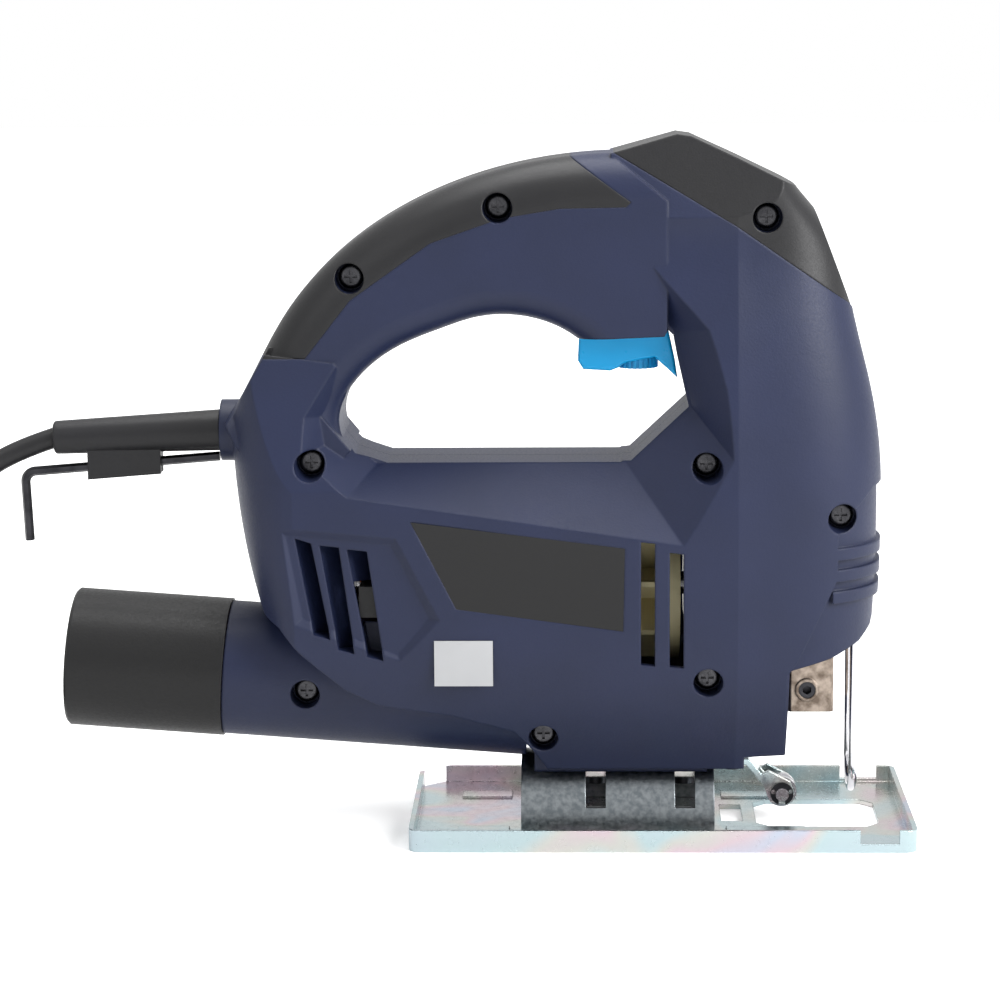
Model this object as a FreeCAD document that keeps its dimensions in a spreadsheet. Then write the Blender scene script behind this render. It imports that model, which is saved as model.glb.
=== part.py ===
import FreeCAD, Part
import math
import os

import Sketcher

# Jigsaw, in millimetres.  The origin is the middle of the base plate's underside.
# +X points to the blade end, +Y to the tool's left, +Z up.

V = FreeCAD.Vector
TO_X = FreeCAD.Rotation(V(0, 1, 0), 90)
TO_Y = FreeCAD.Rotation(V(1, 0, 0), -90)
UPRIGHT = FreeCAD.Rotation()

SIZES = {
    # base and tilt bracket
    "base_length": 150.0, "base_width": 75.0, "base_sheet": 1.5, "base_flange": 6.6,
    "blade_gap_rear": 29.0, "blade_gap_front": 66.0, "blade_gap_half": 15.0,
    "tilt_height": 2.0, "bracket_radius": 19.5, "bracket_sheet": 2.0,
    "bracket_rear": -42.0, "bracket_front": 16.0, "bracket_slot": 6.0,
    # housing
    "wall": 3.0, "handle_half": 19.5, "tube_radius": 20.3, "tube_wall": 2.5,
    "recess_radius": 4.4, "screw_radius": 2.0, "screw_head_radius": 3.7,
    "grip_depth": 2.0,
    # motor and gears
    "motor_height": 73.5, "field_radius": 26.0, "field_length": 40.0, "field_centre": -46.0,
    "armature_radius": 15.6, "air_gap": 0.6, "shaft_radius": 3.5, "bearing_radius": 9.5,
    "bearing_width": 6.0, "commutator_radius": 10.5, "fan_radius": 23.0,
    "gear_module": 0.85, "pinion_teeth": 9.0, "gear_teeth": 60.0, "gear_width": 7.0,
    "gear_start": 22.0, "stroke": 18.0, "crank_pin_radius": 3.0, "open_pivot_gap": 0.3,
    # plunger and blade clamp
    "plunger_place": 43.5, "plunger_radius": 4.0, "running_gap": 0.05,
    "clamp_length": 13.8, "clamp_width": 14.0, "clamp_height": 17.6, "clamp_bottom": 35.0,
    "clamp_screw_radius": 2.5, "blade_slot": 1.6,
    # guide roller and blade guard
    "roller_radius": 4.6, "roller_width": 6.0, "roller_place": 37.0, "roller_height": 9.0,
    "roller_pin_radius": 2.0, "guard_wire_radius": 1.35, "guard_half": 8.8, "guard_place": 58.0,
    # trigger and switch
    "trigger_half": 7.6, "trigger_travel": 5.5, "dial_radius": 6.2, "lock_radius": 4.5,
    # dust adapter
    "adapter_radius": 20.9, "adapter_length": 47.5, "adapter_overlap": 12.0, "adapter_bore": 18.0,
    "tube_tilt": 4.2,
    # cord and key
    "cord_radius": 3.1, "boot_neck_radius": 5.6, "boot_root_radius": 6.2, "boot_tip_radius": 5.0,
    "boot_length": 50.5,
    "key_radius": 1.44, "coil_radius": 34.0,
}

doc = FreeCAD.newDocument("Jigsaw")
sheet = doc.addObject("Spreadsheet::Sheet", "Sizes")
for row, (alias, number) in enumerate(SIZES.items(), start=1):
    sheet.set("A%d" % row, alias.replace("_", " "))
    sheet.set("B%d" % row, str(number))
    sheet.setAlias("B%d" % row, alias)
doc.recompute()

pieces = {}


def size(alias):
    return float(sheet.get(alias))


# ---------------------------------------------------------------- shared helpers

def keep(item, label):
    """Register a finished document object as the piece called label."""
    item.Label = label
    pieces[label] = item
    return item


def feature(label, shape):
    """A piece whose shape is computed here, from sizes read off the sheet."""
    item = doc.addObject("Part::Feature", label)
    item.Shape = shape
    item.Placement = shape.Placement
    return keep(item, label)


def place(x=0.0, y=0.0, z=0.0, turn=UPRIGHT):
    return FreeCAD.Placement(V(x, y, z), turn)


def box(name, length, width, height, placement):
    """Part::Box bound to three expressions; its corner is at the placement."""
    item = doc.addObject("Part::Box", name)
    item.setExpression("Length", length)
    item.setExpression("Width", width)
    item.setExpression("Height", height)
    item.Placement = placement
    return item


def rod(name, radius, length, placement):
    """Part::Cylinder bound to two expressions."""
    item = doc.addObject("Part::Cylinder", name)
    item.setExpression("Radius", radius)
    item.setExpression("Height", length)
    item.Placement = placement
    return item


def cut(name, base, tool):
    item = doc.addObject("Part::Cut", name)
    item.Base = base
    item.Tool = tool
    return item


def fuse(name, *items):
    item = doc.addObject("Part::MultiFuse", name)
    item.Shapes = list(items)
    return item


def ring(label, outer, bore, length, placement):
    """A tube-shaped piece: a cylinder less its bore."""
    solid = rod(label + "_solid", outer, length, placement)
    hole = rod(label + "_hole", bore, length, placement)
    return keep(cut(label + "_ring", solid, hole), label)


def flat(points, level):
    """Closed polygon through (x, z) points in the plane y = level."""
    corners = [V(x, level, z) for x, z in points]
    return Part.makePolygon(corners + corners[:1])


def slab(points, low, high):
    """Side-view polygon, solid from y = low to y = high."""
    return Part.Face(flat(points, low)).extrude(V(0, high - low, 0))


def curve(points):
    """Smooth edge through the points."""
    spline = Part.BSplineCurve()
    spline.interpolate(points)
    return spline.toShape()


def mirrored(shape):
    """The same shape on the other side of the tool's middle plane."""
    return shape.mirror(V(0, 0, 0), V(0, 1, 0))


def cylinder(radius, length, base, axis):
    return Part.makeCylinder(radius, length, base, axis)


def block(low, high):
    return Part.makeBox(high[0] - low[0], high[1] - low[1], high[2] - low[2], V(*low))


# ---------------------------------------------------------------- housing form

BODY_HALF = 31.5        # half the width of the motor housing
REAR_SIDE = -108.0      # where the flat side starts behind
NOSE_SIDE = 22.0        # and where the nose starts to narrow

# height, rear end, front end, half width
LEVELS = [
    (16.0, -100.0, 62.0, 15.8),
    (32.0, -108.0, 63.5, 22.4),
    (50.0, -114.0, 64.4, 29.8),
    (66.0, -119.0, 65.2, 31.5),
    (80.0, -122.8, 65.8, 31.5),
    (95.0, -125.6, 66.0, 31.5),
    (113.0, -127.5, 65.6, 30.2),
    (135.0, -128.0, 62.2, 27.2),
    (158.0, -128.0, 56.6, 22.6),
    (182.0, -128.0, 48.6, 18.9),
    (212.0, -128.0, 38.0, 16.0),
]
NOSE_SHAPE = [(0.365, 0.908), (0.673, 0.771), (0.868, 0.549), (0.973, 0.28)]
REAR_SHAPE = [(0.35, 0.93), (0.72, 0.74), (0.95, 0.40)]

# side view of the motor housing, gear housing and front column
BODY_OUTLINE = [
    (-119.5, 69.0), (-113.0, 66.0), (-106.6, 58.6), (-93.5, 47.0), (-83.3, 41.8), (-62.6, 38.6),
    (-44.0, 33.0), (-38.5, 26.5), (-34.0, 19.8), (24.8, 19.8), (24.8, 23.6), (37.2, 24.0),
    (37.6, 52.0), (50.0, 55.1), (58.7, 59.0), (62.5, 62.5), (64.0, 66.0), (70.0, 100.0),
    (70.0, 150.0), (56.2, 157.4), (43.1, 191.5), (21.9, 201.9), (8.6, 208.1), (4.5, 208.7),
    (-14.9, 203.3), (-13.0, 175.0), (0.0, 154.0), (3.5, 150.2), (5.3, 141.2), (8.0, 129.1),
    (-9.0, 113.2), (-18.0, 112.7), (-81.1, 112.7), (-90.4, 115.8), (-94.2, 120.4), (-95.0, 127.1),
    (-92.0, 136.0), (-98.0, 147.0), (-115.5, 147.0), (-124.0, 132.0), (-128.6, 123.0), (-127.5, 102.0),
    (-124.9, 93.0),
]

# ridge of the side wall, and the rim of the handle opening that it slopes in to
RIDGE = [(-104.5, 147.0), (-110.5, 128.0), (-108.5, 116.0), (-92.4, 104.5), (6.5, 90.1), (22.3, 113.6),
         (23.6, 133.5), (22.1, 153.8), (8.0, 178.0)]
RIM = [(-90.0, 141.0), (-96.0, 127.0), (-95.0, 120.0), (-84.0, 112.7), (-10.7, 112.9), (8.4, 129.6),
       (5.6, 141.2), (3.4, 151.5), (-10.0, 172.0)]
RIM_HALF = 14.0
BEYOND = [(-20.0, 230.0), (-150.0, 230.0), (-150.0, 150.0)]
# the rear leg's shoulder, in y and z: it leans in until it meets the handle
SHOULDER = [(-45.0, 104.0), (-31.6, 104.0), (-18.7, 148.0), (-18.7, 180.0), (-45.0, 180.0)]

# handle opening: a smooth upper edge, then straight lines round the trigger and the lower rim
OPENING_TOP = [(-94.2, 120.4), (-95.0, 127.1), (-88.8, 138.5), (-76.7, 147.5), (-64.7, 152.4),
               (-53.7, 155.8), (-40.3, 155.9), (-24.8, 149.4)]
OPENING_FRONT = [(3.5, 150.6), (5.3, 141.2), (8.0, 129.1), (-4.5, 117.7), (-12.0, 112.7),
                 (-81.1, 112.7), (-90.4, 115.8)]

# outer edge of the handle, from the cord's collar to the front cap
HANDLE_TOP = [(-129.6, 124.0), (-122.5, 136.0), (-111.0, 156.6), (-95.1, 174.5), (-66.7, 192.1),
              (-38.2, 200.8), (-14.9, 203.3)]
HANDLE_ROUND = 12.5
OPENING_ROUND = 8.0

REAR_GRIP = [(-145.0, 144.4), (-104.5, 144.4), (-91.1, 161.4), (-67.5, 178.0), (-47.0, 185.1),
             (-29.6, 187.9), (-10.5, 188.2), (-9.0, 189.6), (-27.2, 202.7), (-50.0, 230.0),
             (-145.0, 230.0)]
FRONT_CAP = [(-16.5, 205.0), (21.1, 182.8), (54.6, 159.4), (80.0, 141.5), (80.0, 230.0), (-16.5, 230.0)]
CAP_SLOPE = [(-30.0, 183.0), (-20.2, 183.0), (-10.5, 208.0), (-6.0, 220.0), (-30.0, 220.0)]

# the gear housing's nose is stepped in by NOSE_STEP below this outline, but for three ribs
NOSE_PANEL = [(37.0, 15.0), (37.0, 51.0), (39.8, 55.0), (51.5, 79.1), (51.5, 91.5), (53.5, 96.0),
              (62.6, 105.0), (75.0, 108.0), (75.0, 15.0)]
NOSE_STEP = 1.3
NOSE_RIBS = [71.9, 78.3, 84.7]
RIB_HEIGHT = 3.6

# inside of the motor housing, gear housing and front column
ROOM = [
    (-100.0, 66.0), (-113.0, 74.0), (-118.5, 86.0), (-121.0, 99.0), (-121.0, 118.0), (-102.0, 118.0),
    (-97.0, 110.0), (-84.0, 108.5), (-9.5, 108.5), (12.5, 128.0), (9.8, 141.5), (8.2, 153.0),
    (-2.0, 160.0), (-9.0, 172.0), (-9.0, 181.0), (41.0, 181.0), (46.0, 170.0), (52.5, 151.0),
    (58.0, 135.0), (61.0, 112.0), (61.0, 72.0), (57.0, 64.0), (50.0, 61.0), (34.2, 58.0),
    (34.2, 28.0), (-30.0, 27.5), (-38.0, 36.5), (-60.0, 42.0), (-77.0, 46.0), (-77.0, 66.0),
]
HANDLE_ROOM = [
    (-18.0, 190.0), (-2.0, 181.0), (-2.0, 158.5), (-24.0, 157.5), (-33.0, 161.0), (-53.0, 162.0),
    (-68.0, 158.5), (-82.0, 151.5), (-94.0, 143.0), (-101.0, 131.0), (-101.5, 112.0), (-120.5, 112.0),
]
HANDLE_ROOM_HALF = 13.5
HANDLE_ROOM_DEPTH = 6.0

# screws through the right half into the left: x, z, depth of the seat, boss radius
SCREWS = [
    (-103.0, 113.8, 17.0, 5.5), (13.2, 112.6, 14.0, 5.5), (52.8, 97.1, 14.0, 4.2),
    (13.5, 49.3, 20.0, 5.5), (-35.2, 30.6, 13.0, 5.5), (-47.8, 188.1, 9.0, 5.0),
    (-91.2, 167.7, 9.0, 5.0), (30.6, 184.8, 9.0, 5.0), (-106.2, 43.6, 12.0, 5.0),
]
SCREW_REACH = 9.0

FRONT_VENTS = [
    [(-6.3, 55.0), (-2.2, 54.6), (-2.2, 91.4), (-6.3, 91.8)],
    [(2.1, 54.3), (6.2, 54.0), (6.2, 88.2), (2.1, 88.7)],
]
REAR_VENTS = [
    [(-107.4, 92.9), (-102.7, 91.4), (-97.4, 62.8), (-102.3, 64.3)],
    [(-100.2, 90.8), (-94.6, 90.2), (-90.4, 58.5), (-95.1, 59.7)],
    [(-92.2, 89.6), (-86.4, 89.0), (-81.9, 56.4), (-86.6, 57.6)],
]
LABEL = [(-73.4, 97.9), (-11.0, 90.0), (-11.5, 65.3), (-60.3, 72.0)]
LABEL_DEPTH = 0.5
STICKER = [(-66.9, 62.6), (-49.7, 62.6), (-49.7, 49.0), (-66.9, 49.0)]
STICKER_DEPTH = 0.15
# shallow panel with bevelled edges round the rear vents
PANEL_EDGE = [(-114.0, 97.5), (-77.1, 94.2), (-63.7, 68.5), (-76.3, 54.1), (-109.0, 66.2)]
PANEL_FLOOR = [(-110.0, 93.8), (-79.3, 90.8), (-68.3, 69.0), (-77.6, 58.0), (-105.5, 69.0)]
PANEL_DEPTH = 1.5

COLLAR_CENTRE = (-131.5, 120.6)
COLLAR_RADIUS = 9.2
BOOT_DROOP = 2.5
BOOT_START = 0.3        # behind the collar's face
CORD_INSIDE = 20.0      # length of cord inside the housing

TUBE_REAR = V(-131.0, 0.0, 47.6)
TUBE_LENGTH = 92.0


def moved_in(points, distance):
    """Open side-view outline moved to the right of its direction of travel."""
    moved = []
    for i, (x, z) in enumerate(points):
        before = points[max(i - 1, 0)]
        after = points[min(i + 1, len(points) - 1)]
        dx, dz = after[0] - before[0], after[1] - before[1]
        length = math.hypot(dx, dz)
        moved.append((x + distance * dz / length, z - distance * dx / length))
    return moved


def section(level, rear, nose, half):
    """Plan outline of the body at one height: flat sides, round nose, rounded rear."""
    nose_side = [V(NOSE_SIDE + f * (nose - NOSE_SIDE), w * half, level) for f, w in NOSE_SHAPE]
    rear_side = [V(REAR_SIDE + f * (rear - REAR_SIDE), w * half, level) for f, w in REAR_SHAPE]
    front = [V(NOSE_SIDE, half, level)] + nose_side + [V(nose, 0, level)]
    front += [V(p.x, -p.y, level) for p in reversed(front[:-1])]
    back = [V(REAR_SIDE, -half, level)] + [V(p.x, -p.y, level) for p in rear_side]
    back += [V(rear, 0, level)] + list(reversed(rear_side)) + [V(REAR_SIDE, half, level)]
    edges = [curve(front), Part.makeLine(front[-1], back[0]), curve(back), Part.makeLine(back[-1], front[0])]
    return Part.Wire(edges)


def body_loft(inset):
    """The body's full form, or the same form moved inwards by inset."""
    rings = [section(level, rear + inset, nose - inset, half - inset) for level, rear, nose, half in LEVELS]
    return Part.makeLoft(rings, True)


def funnel(inset):
    """What is missing between the ridge and the opening's rim, on the right-hand side."""
    outer = flat(RIDGE + BEYOND, -BODY_HALF - 0.5 + inset)
    inner = flat(RIM + BEYOND, -RIM_HALF + inset)
    return Part.makeLoft([outer, inner], True, True)


def both_sides(shape):
    return shape.fuse(mirrored(shape))


def opening(half):
    """The hole that the fingers go through."""
    top = curve([V(x, -half, z) for x, z in OPENING_TOP])
    corners = [V(x, -half, z) for x, z in OPENING_TOP[-1:] + OPENING_FRONT + OPENING_TOP[:1]]
    lines = [Part.makeLine(a, b) for a, b in zip(corners[:-1], corners[1:])]
    return Part.Face(Part.Wire([top] + lines)).extrude(V(0, 2 * half, 0))


def cap_slopes(inset, front):
    """The two slanted faces along the top of the front cap, for x up to front."""
    corners = [V(-16.0, y + inset, z - inset) for y, z in CAP_SLOPE]
    return both_sides(Part.Face(Part.makePolygon(corners + corners[:1])).extrude(V(front + 16.0, 0, 0)))


def body_form(inset):
    """Motor housing, gear housing and front column as one solid."""
    form = body_loft(inset).common(slab(BODY_OUTLINE, -BODY_HALF - 8, BODY_HALF + 8))
    corners = [V(-140.0, y, z) for y, z in SHOULDER]
    shoulder = Part.Face(Part.makePolygon(corners + corners[:1])).extrude(V(60.0, 0, 0))
    return form.cut([both_sides(funnel(0)), cap_slopes(inset, 80.0), both_sides(shoulder)])


def near_curve(edge, points):
    """True for an edge whose middle lies on the smooth outline through the points."""
    outline = curve([V(x, 0, z) for x, z in points])
    middle = edge.valueAt((edge.FirstParameter + edge.LastParameter) / 2)
    flat_middle = Part.Vertex(V(middle.x, 0, middle.z))
    return outline.distToShape(flat_middle)[0] < 0.05


def handle_form(inset):
    """The grip: an arch of rounded section."""
    half = size("handle_half") - inset
    points = moved_in(HANDLE_TOP, inset)
    top = curve([V(x, -half, z) for x, z in points])
    start = top.valueAt(top.FirstParameter)
    end = top.valueAt(top.LastParameter)
    lower = [end, V(1.5, -half, 190.0), V(1.5, -half, 152.0), V(-10.0, -half, 130.0),
             V(-80.0, -half, 130.0), V(-96.0, -half, 112.0), V(-118.0, -half, 108.0), start]
    edges = [top] + [Part.makeLine(a, b) for a, b in zip(lower[:-1], lower[1:])]
    solid = Part.Face(Part.Wire(edges)).extrude(V(0, 2 * half, 0)).cut(opening(half + 5))
    sides = [e for e in solid.Edges if abs(abs(e.CenterOfMass.y) - half) < 0.01]
    solid = solid.makeFillet(HANDLE_ROUND - inset, [e for e in sides if near_curve(e, points)])
    sides = [e for e in solid.Edges if abs(abs(e.CenterOfMass.y) - half) < 0.01]
    return solid.makeFillet(OPENING_ROUND, [e for e in sides if near_curve(e, OPENING_TOP)])



def nose_cut(form):
    """What the stepped nose panel takes off, leaving the ribs."""
    region = slab(NOSE_PANEL, -BODY_HALF - 8, BODY_HALF + 8)
    for level in NOSE_RIBS:
        region = region.cut(block((50.0, -40, level), (80.0, 40, level + RIB_HEIGHT)))
    return form.common(region).cut(body_loft(NOSE_STEP))


def panel_cut():
    outer = flat(PANEL_EDGE, -BODY_HALF - 0.8)
    floor = flat(PANEL_FLOOR, -BODY_HALF + PANEL_DEPTH)
    return both_sides(Part.makeLoft([outer, floor], True, True))


def tube_axis():
    tilt = math.radians(size("tube_tilt"))
    return V(math.cos(tilt), 0, -math.sin(tilt))


def tube_form(radius):
    return cylinder(radius, TUBE_LENGTH, TUBE_REAR, tube_axis())


def collar_form():
    """Boss that the cord comes out of."""
    x, z = COLLAR_CENTRE
    return cylinder(COLLAR_RADIUS, 22.0, V(x, 0, z), V(1, 0, 0))


def outer_form():
    """Everything of the housing and grips, seen from outside, as one solid."""
    form = body_form(0).fuse(handle_form(0)).cut(opening(40))
    form = form.cut(nose_cut(form)).cut(panel_cut())
    form = form.fuse(tube_form(size("tube_radius"))).fuse(collar_form())
    # saddle over the bracket, and the way up for the blade clamp
    saddle = block((-38.0, -12.0, 17.6), (14.0, 12.0, 24.0))
    arch = cylinder(size("bracket_radius") + 0.3, 70.0, V(-50.0, 0, size("tilt_height")), V(1, 0, 0))
    clamp_way = block((37.6, -10.5, 40.0), (56.0, 10.5, 70.0))
    return form.fuse(saddle).cut(arch).cut(clamp_way)


def along_y(x, z, radius, low, high):
    return cylinder(radius, high - low, V(x, low, z), V(0, 1, 0))


def bosses():
    """Posts round the screws, wider where the recess for the head is."""
    posts = []
    for x, z, seat, radius in SCREWS:
        posts.append(along_y(x, z, radius, -40, 40))
        posts.append(both_sides(along_y(x, z, size("recess_radius") + 2.0, -40, 3.0 - seat)))
    return posts


def duct_form():
    """Dust way: the tube's bore, then a narrower passage to the front wall."""
    bore = cylinder(size("tube_radius") - size("tube_wall"), 27.0, TUBE_REAR, tube_axis())
    under_commutator = block((-108.0, -12.0, 31.0), (-78.0, 12.0, 56.0))
    under_field = block((-80.0, -10.0, 31.0), (-58.0, 10.0, 40.0))
    low = block((-62.0, -8.0, 28.5), (-40.0, 8.0, 36.0))
    return bore.fuse([under_commutator, under_field, low])


def motor_room(gap):
    """Space of the motor's round outline, and of its commutator and rear bearing."""
    height = size("motor_height")
    wide = cylinder(size("field_radius") + gap, 50.0, V(-77.0, 0, height), V(1, 0, 0))
    behind = max(size("commutator_radius"), size("bearing_radius"))
    narrow = cylinder(behind + gap, 30.0, V(-106.0, 0, height), V(1, 0, 0))
    return wide.fuse(narrow)


def supports():
    """Ribs and seats that stand inside the housing."""
    motor = size("motor_height")
    bearing = size("bearing_radius") + size("running_gap")
    field = size("field_radius") + size("running_gap")
    rear_seat = block((-103.5, -40, 62), (-97.5, 40, 88)).cut(
        cylinder(bearing, 20, V(-105, 0, motor), V(1, 0, 0)))
    field_way = cylinder(field, 50, V(-70.0, 0, motor), V(1, 0, 0))
    field_ribs = [block((x, -40, 20), (x + 3.0, 40, 112)).cut(field_way) for x in (-63.0, -32.0)]
    plate_rib = block((9.0, -40, 20), (13.0, 40, 130)).cut(gear_plate_outline(9.0, 4.0))
    seat = size("running_gap")
    upper = block((30.0, -40, 131.0), (62.0, 40, 137.0)).cut(
        cylinder(8.0 + seat, 20, V(size("plunger_place"), 0, 125), V(0, 0, 1)))
    lower = block((33.0, -40, 67.5), (62.0, 40, 72.5)).cut(
        cylinder(7.0 + seat, 20, V(size("plunger_place"), 0, 60), V(0, 0, 1)))
    switch_ribs = [block((-38.0, y, 155.0), (-33.0, y + 6.0, 190.0)) for y in (-15.0, 9.0)]
    return [rear_seat, plate_rib, upper, lower] + field_ribs + switch_ribs


def yoke_way():
    """Room for the yoke over its whole stroke."""
    front = size("plunger_place") + size("plunger_radius") + 0.8
    half = 8.0 + size("stroke") / 2
    return block((30.0, -18.0, gear_height() - half), (front + 0.4, 18.0, gear_height() + half))


def gear_plate_outline(x, thick):
    wide = block((x, -26.0, 55.5), (x + thick, 26.0, 88.0))
    return wide.fuse(block((x, -10.5, 88.0), (x + thick, 10.5, 106.8))).removeSplitter()


def cavity():
    """The hollow inside both halves."""
    room = body_loft(size("wall")).common(slab(ROOM, -40, 40)).cut(both_sides(funnel(size("wall"))))
    room = room.cut(tube_form(size("tube_radius")).cut(motor_room(0.5)))
    top = moved_in(HANDLE_TOP, HANDLE_ROOM_DEPTH)[:-1]
    grip = slab(top + HANDLE_ROOM, -HANDLE_ROOM_HALF, HANDLE_ROOM_HALF)
    hollow = room.fuse([grip, motor_room(0.5)])
    hollow = hollow.cut(Part.makeCompound(bosses()).cut(yoke_way())).cut(supports())
    return hollow.fuse(duct_form().cut(along_y(-106.2, 43.6, 5.0, -40, 40)))


def trigger_way():
    half = size("trigger_half") + 0.4
    return slab([(-26.4, 140.0), (-28.4, 167.0), (1.2, 167.0), (3.5, 152.0), (4.0, 150.0), (4.0, 140.0)],
                -half, half)


def clamp_bolts_way(radius, top):
    """Holes for the two bolts that hold the base."""
    return [cylinder(radius, top - 10.0, V(x, 0, 10.0), V(0, 0, 1)) for x in BOLT_PLACES]


BOLT_PLACES = (-19.6, 7.2)
LOCK_PLACE = (-30.0, 176.0)
PLATE_SCREW = 22.0      # place of the screw that holds the roller's fork


def housing_parts():
    """Both housing halves and the four grips."""
    outer = outer_form()
    core = handle_form(size("grip_depth"))
    cap_core = body_form(size("grip_depth")).cut(opening(40)).common(slab(cap_room(), -40, 40))
    hollow = cavity()
    ways = clamp_bolts_way(2.5, 34.0) + [cylinder(1.6, 14.0, V(PLATE_SCREW, 0, 15.0), V(0, 0, 1))]
    ways += [cord_way(), guard_form(size("guard_wire_radius")), trigger_way(), gear_plate_outline(9.0, 4.0)]
    screws = [along_y(x, z, size("screw_radius"), -45, SCREW_REACH) for x, z, seat, b in SCREWS]
    recesses = [along_y(x, z, size("recess_radius"), -45, -seat) for x, z, seat, b in SCREWS]
    lock = along_y(LOCK_PLACE[0], LOCK_PLACE[1], size("lock_radius") + size("running_gap"), 5, 45)
    label = slab(LABEL, -45, -BODY_HALF + LABEL_DEPTH)
    for side, low, high in (("right", -50, 0), ("left", 0, 50)):
        half = outer.common(block((-250, low, -10), (150, high, 300)))
        outside = 45 if side == "left" else -45
        vents = [slab(v, min(outside, outside * 0.45), max(outside, outside * 0.45))
                 for v in FRONT_VENTS + REAR_VENTS]
        holes = screws + ([lock] if side == "left" else recesses)
        rear = half.common(slab(REAR_GRIP, -40, 40)).cut(core)
        cap = half.common(slab(FRONT_CAP, -40, 40)).cut(cap_core)
        shell = half.cut(rear).cut(cap).cut(hollow).cut(ways).cut(vents).cut(holes)
        if side == "right":
            shell = shell.cut(label)
        feature("housing_" + side, shell)
        feature("rear_grip_" + side, rear.cut(holes))
        feature("front_cap_" + side, cap.cut(holes))


def cap_room():
    depth = size("grip_depth")
    return [(-16.5, 100.0), (-16.5, 203.0 - depth), (-14.9, 203.3 - depth), (4.5, 208.7 - depth),
            (21.9 - 0.4, 201.9 - depth - 0.3), (43.1 - 1.0, 191.5 - depth), (56.2 - depth, 157.4),
            (80.0, 120.0), (80.0, 100.0)]


def cord_way():
    """Round way through the collar for the boot's root and the cord."""
    x, z = COLLAR_CENTRE
    return cylinder(size("boot_neck_radius"), 20.0, V(x - 1.0, 0, z), V(1, 0, 0))



# ---------------------------------------------------------------- base plate and bracket

PAD_HEIGHT = 0.6
BASE_CORNER = 4.0


def origin_plane(body, role):
    return next(f for f in body.Origin.OriginFeatures if f.Role == role)


def sketch(body, name, role="XY_Plane", lift=0.0):
    item = body.newObject("Sketcher::SketchObject", name)
    item.AttachmentSupport = (origin_plane(body, role), [""])
    item.MapMode = "FlatFace"
    item.AttachmentOffset = FreeCAD.Placement(V(0, 0, lift), UPRIGHT)
    return item


def draw(item, points):
    """Closed outline of straight lines."""
    for a, b in zip(points, points[1:] + points[:1]):
        item.addGeometry(Part.LineSegment(V(a[0], a[1], 0), V(b[0], b[1], 0)), False)


def draw_rectangle(item, length, width):
    """Rectangle about the sketch's origin, bound to two expressions."""
    draw(item, [(-10, -10), (10, -10), (10, 10), (-10, 10)])
    for a, b in ((0, 1), (1, 2), (2, 3), (3, 0)):
        item.addConstraint(Sketcher.Constraint("Coincident", a, 2, b, 1))
    for line, way in ((0, "Horizontal"), (2, "Horizontal"), (1, "Vertical"), (3, "Vertical")):
        item.addConstraint(Sketcher.Constraint(way, line))
    item.addConstraint(Sketcher.Constraint("Symmetric", 0, 1, 1, 2, -1, 1))
    across = item.addConstraint(Sketcher.Constraint("DistanceX", 0, 1, 0, 2, 20.0))
    up = item.addConstraint(Sketcher.Constraint("DistanceY", 1, 1, 1, 2, 20.0))
    item.setExpression("Constraints[%d]" % across, length)
    item.setExpression("Constraints[%d]" % up, width)


def pad(body, profile, length, name):
    item = body.newObject("PartDesign::Pad", name)
    item.Profile = profile
    item.setExpression("Length", length)
    return item


def pocket(body, profile, depth, name):
    item = body.newObject("PartDesign::Pocket", name)
    item.Profile = profile
    item.setExpression("Length", depth)
    return item


def rounded(low_x, low_y, high_x, high_y):
    return [(low_x, low_y), (high_x, low_y), (high_x, high_y), (low_x, high_y)]


def base_plate():
    """Pressed steel tray: turned-up edges, a gap for the blade and pressed pads."""
    body = doc.addObject("PartDesign::Body", "base_plate")
    outline = sketch(body, "base_outline")
    draw_rectangle(outline, "Sizes.base_length", "Sizes.base_width")
    first = pad(body, outline, "Sizes.base_flange", "base_pad")
    doc.recompute()
    corners = ["Edge%d" % (i + 1) for i, e in enumerate(first.Shape.Edges)
               if e.BoundBox.ZLength > 1.0]
    fillet = body.newObject("PartDesign::Fillet", "base_corners")
    fillet.Base = (first, corners)
    fillet.Radius = BASE_CORNER
    doc.recompute()
    inside = sketch(body, "base_inside", lift=size("base_flange"))
    draw_rectangle(inside, "Sizes.base_length - 2 * Sizes.base_sheet", "Sizes.base_width - 2 * Sizes.base_sheet")
    pocket(body, inside, "Sizes.base_flange - Sizes.base_sheet", "base_tray")
    half_length = size("base_length") / 2
    half_width = size("base_width") / 2
    top = size("base_flange")
    gap = size("blade_gap_half")
    holes = sketch(body, "base_holes", lift=top)
    draw(holes, slot_outline(size("blade_gap_rear"), size("blade_gap_front"), gap))
    draw(holes, rounded(18.5, -9.0, 25.0, 9.0))
    for x in BOLT_PLACES:
        holes.addGeometry(Part.Circle(V(x, 0, 0), V(0, 0, 1), 5.5), False)
    pocket(body, holes, "Sizes.base_flange + 1", "base_cuts")
    edges = sketch(body, "base_edges", lift=top)
    front = half_length - 17.0
    draw(edges, rounded(front, -half_width - 1, front + 11.5, -half_width + 3))
    draw(edges, rounded(front, half_width - 3, front + 11.5, half_width + 1))
    pocket(body, edges, "Sizes.base_flange - Sizes.base_sheet - 1", "base_low_edges")
    corner = sketch(body, "base_corner_cut", lift=top)
    draw(corner, [(-half_length - 1, half_width - 9.0), (-half_length + 11.0, half_width + 1),
                  (-half_length - 1, half_width + 1)])
    pocket(body, corner, "Sizes.base_flange + 1", "base_chamfer")
    pads = sketch(body, "base_pads", lift=size("base_sheet"))
    for low, high in ((-61.0, -45.5), (19.5, 43.0)):
        draw(pads, rounded(low, 16.5, high, 23.0))
        draw(pads, rounded(low, -23.0, high, -16.5))
    last = body.newObject("PartDesign::Pad", "base_pressings")
    last.Profile = pads
    last.Length = PAD_HEIGHT
    doc.recompute()
    body.Tip = last
    return keep(body, "base_plate")


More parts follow.
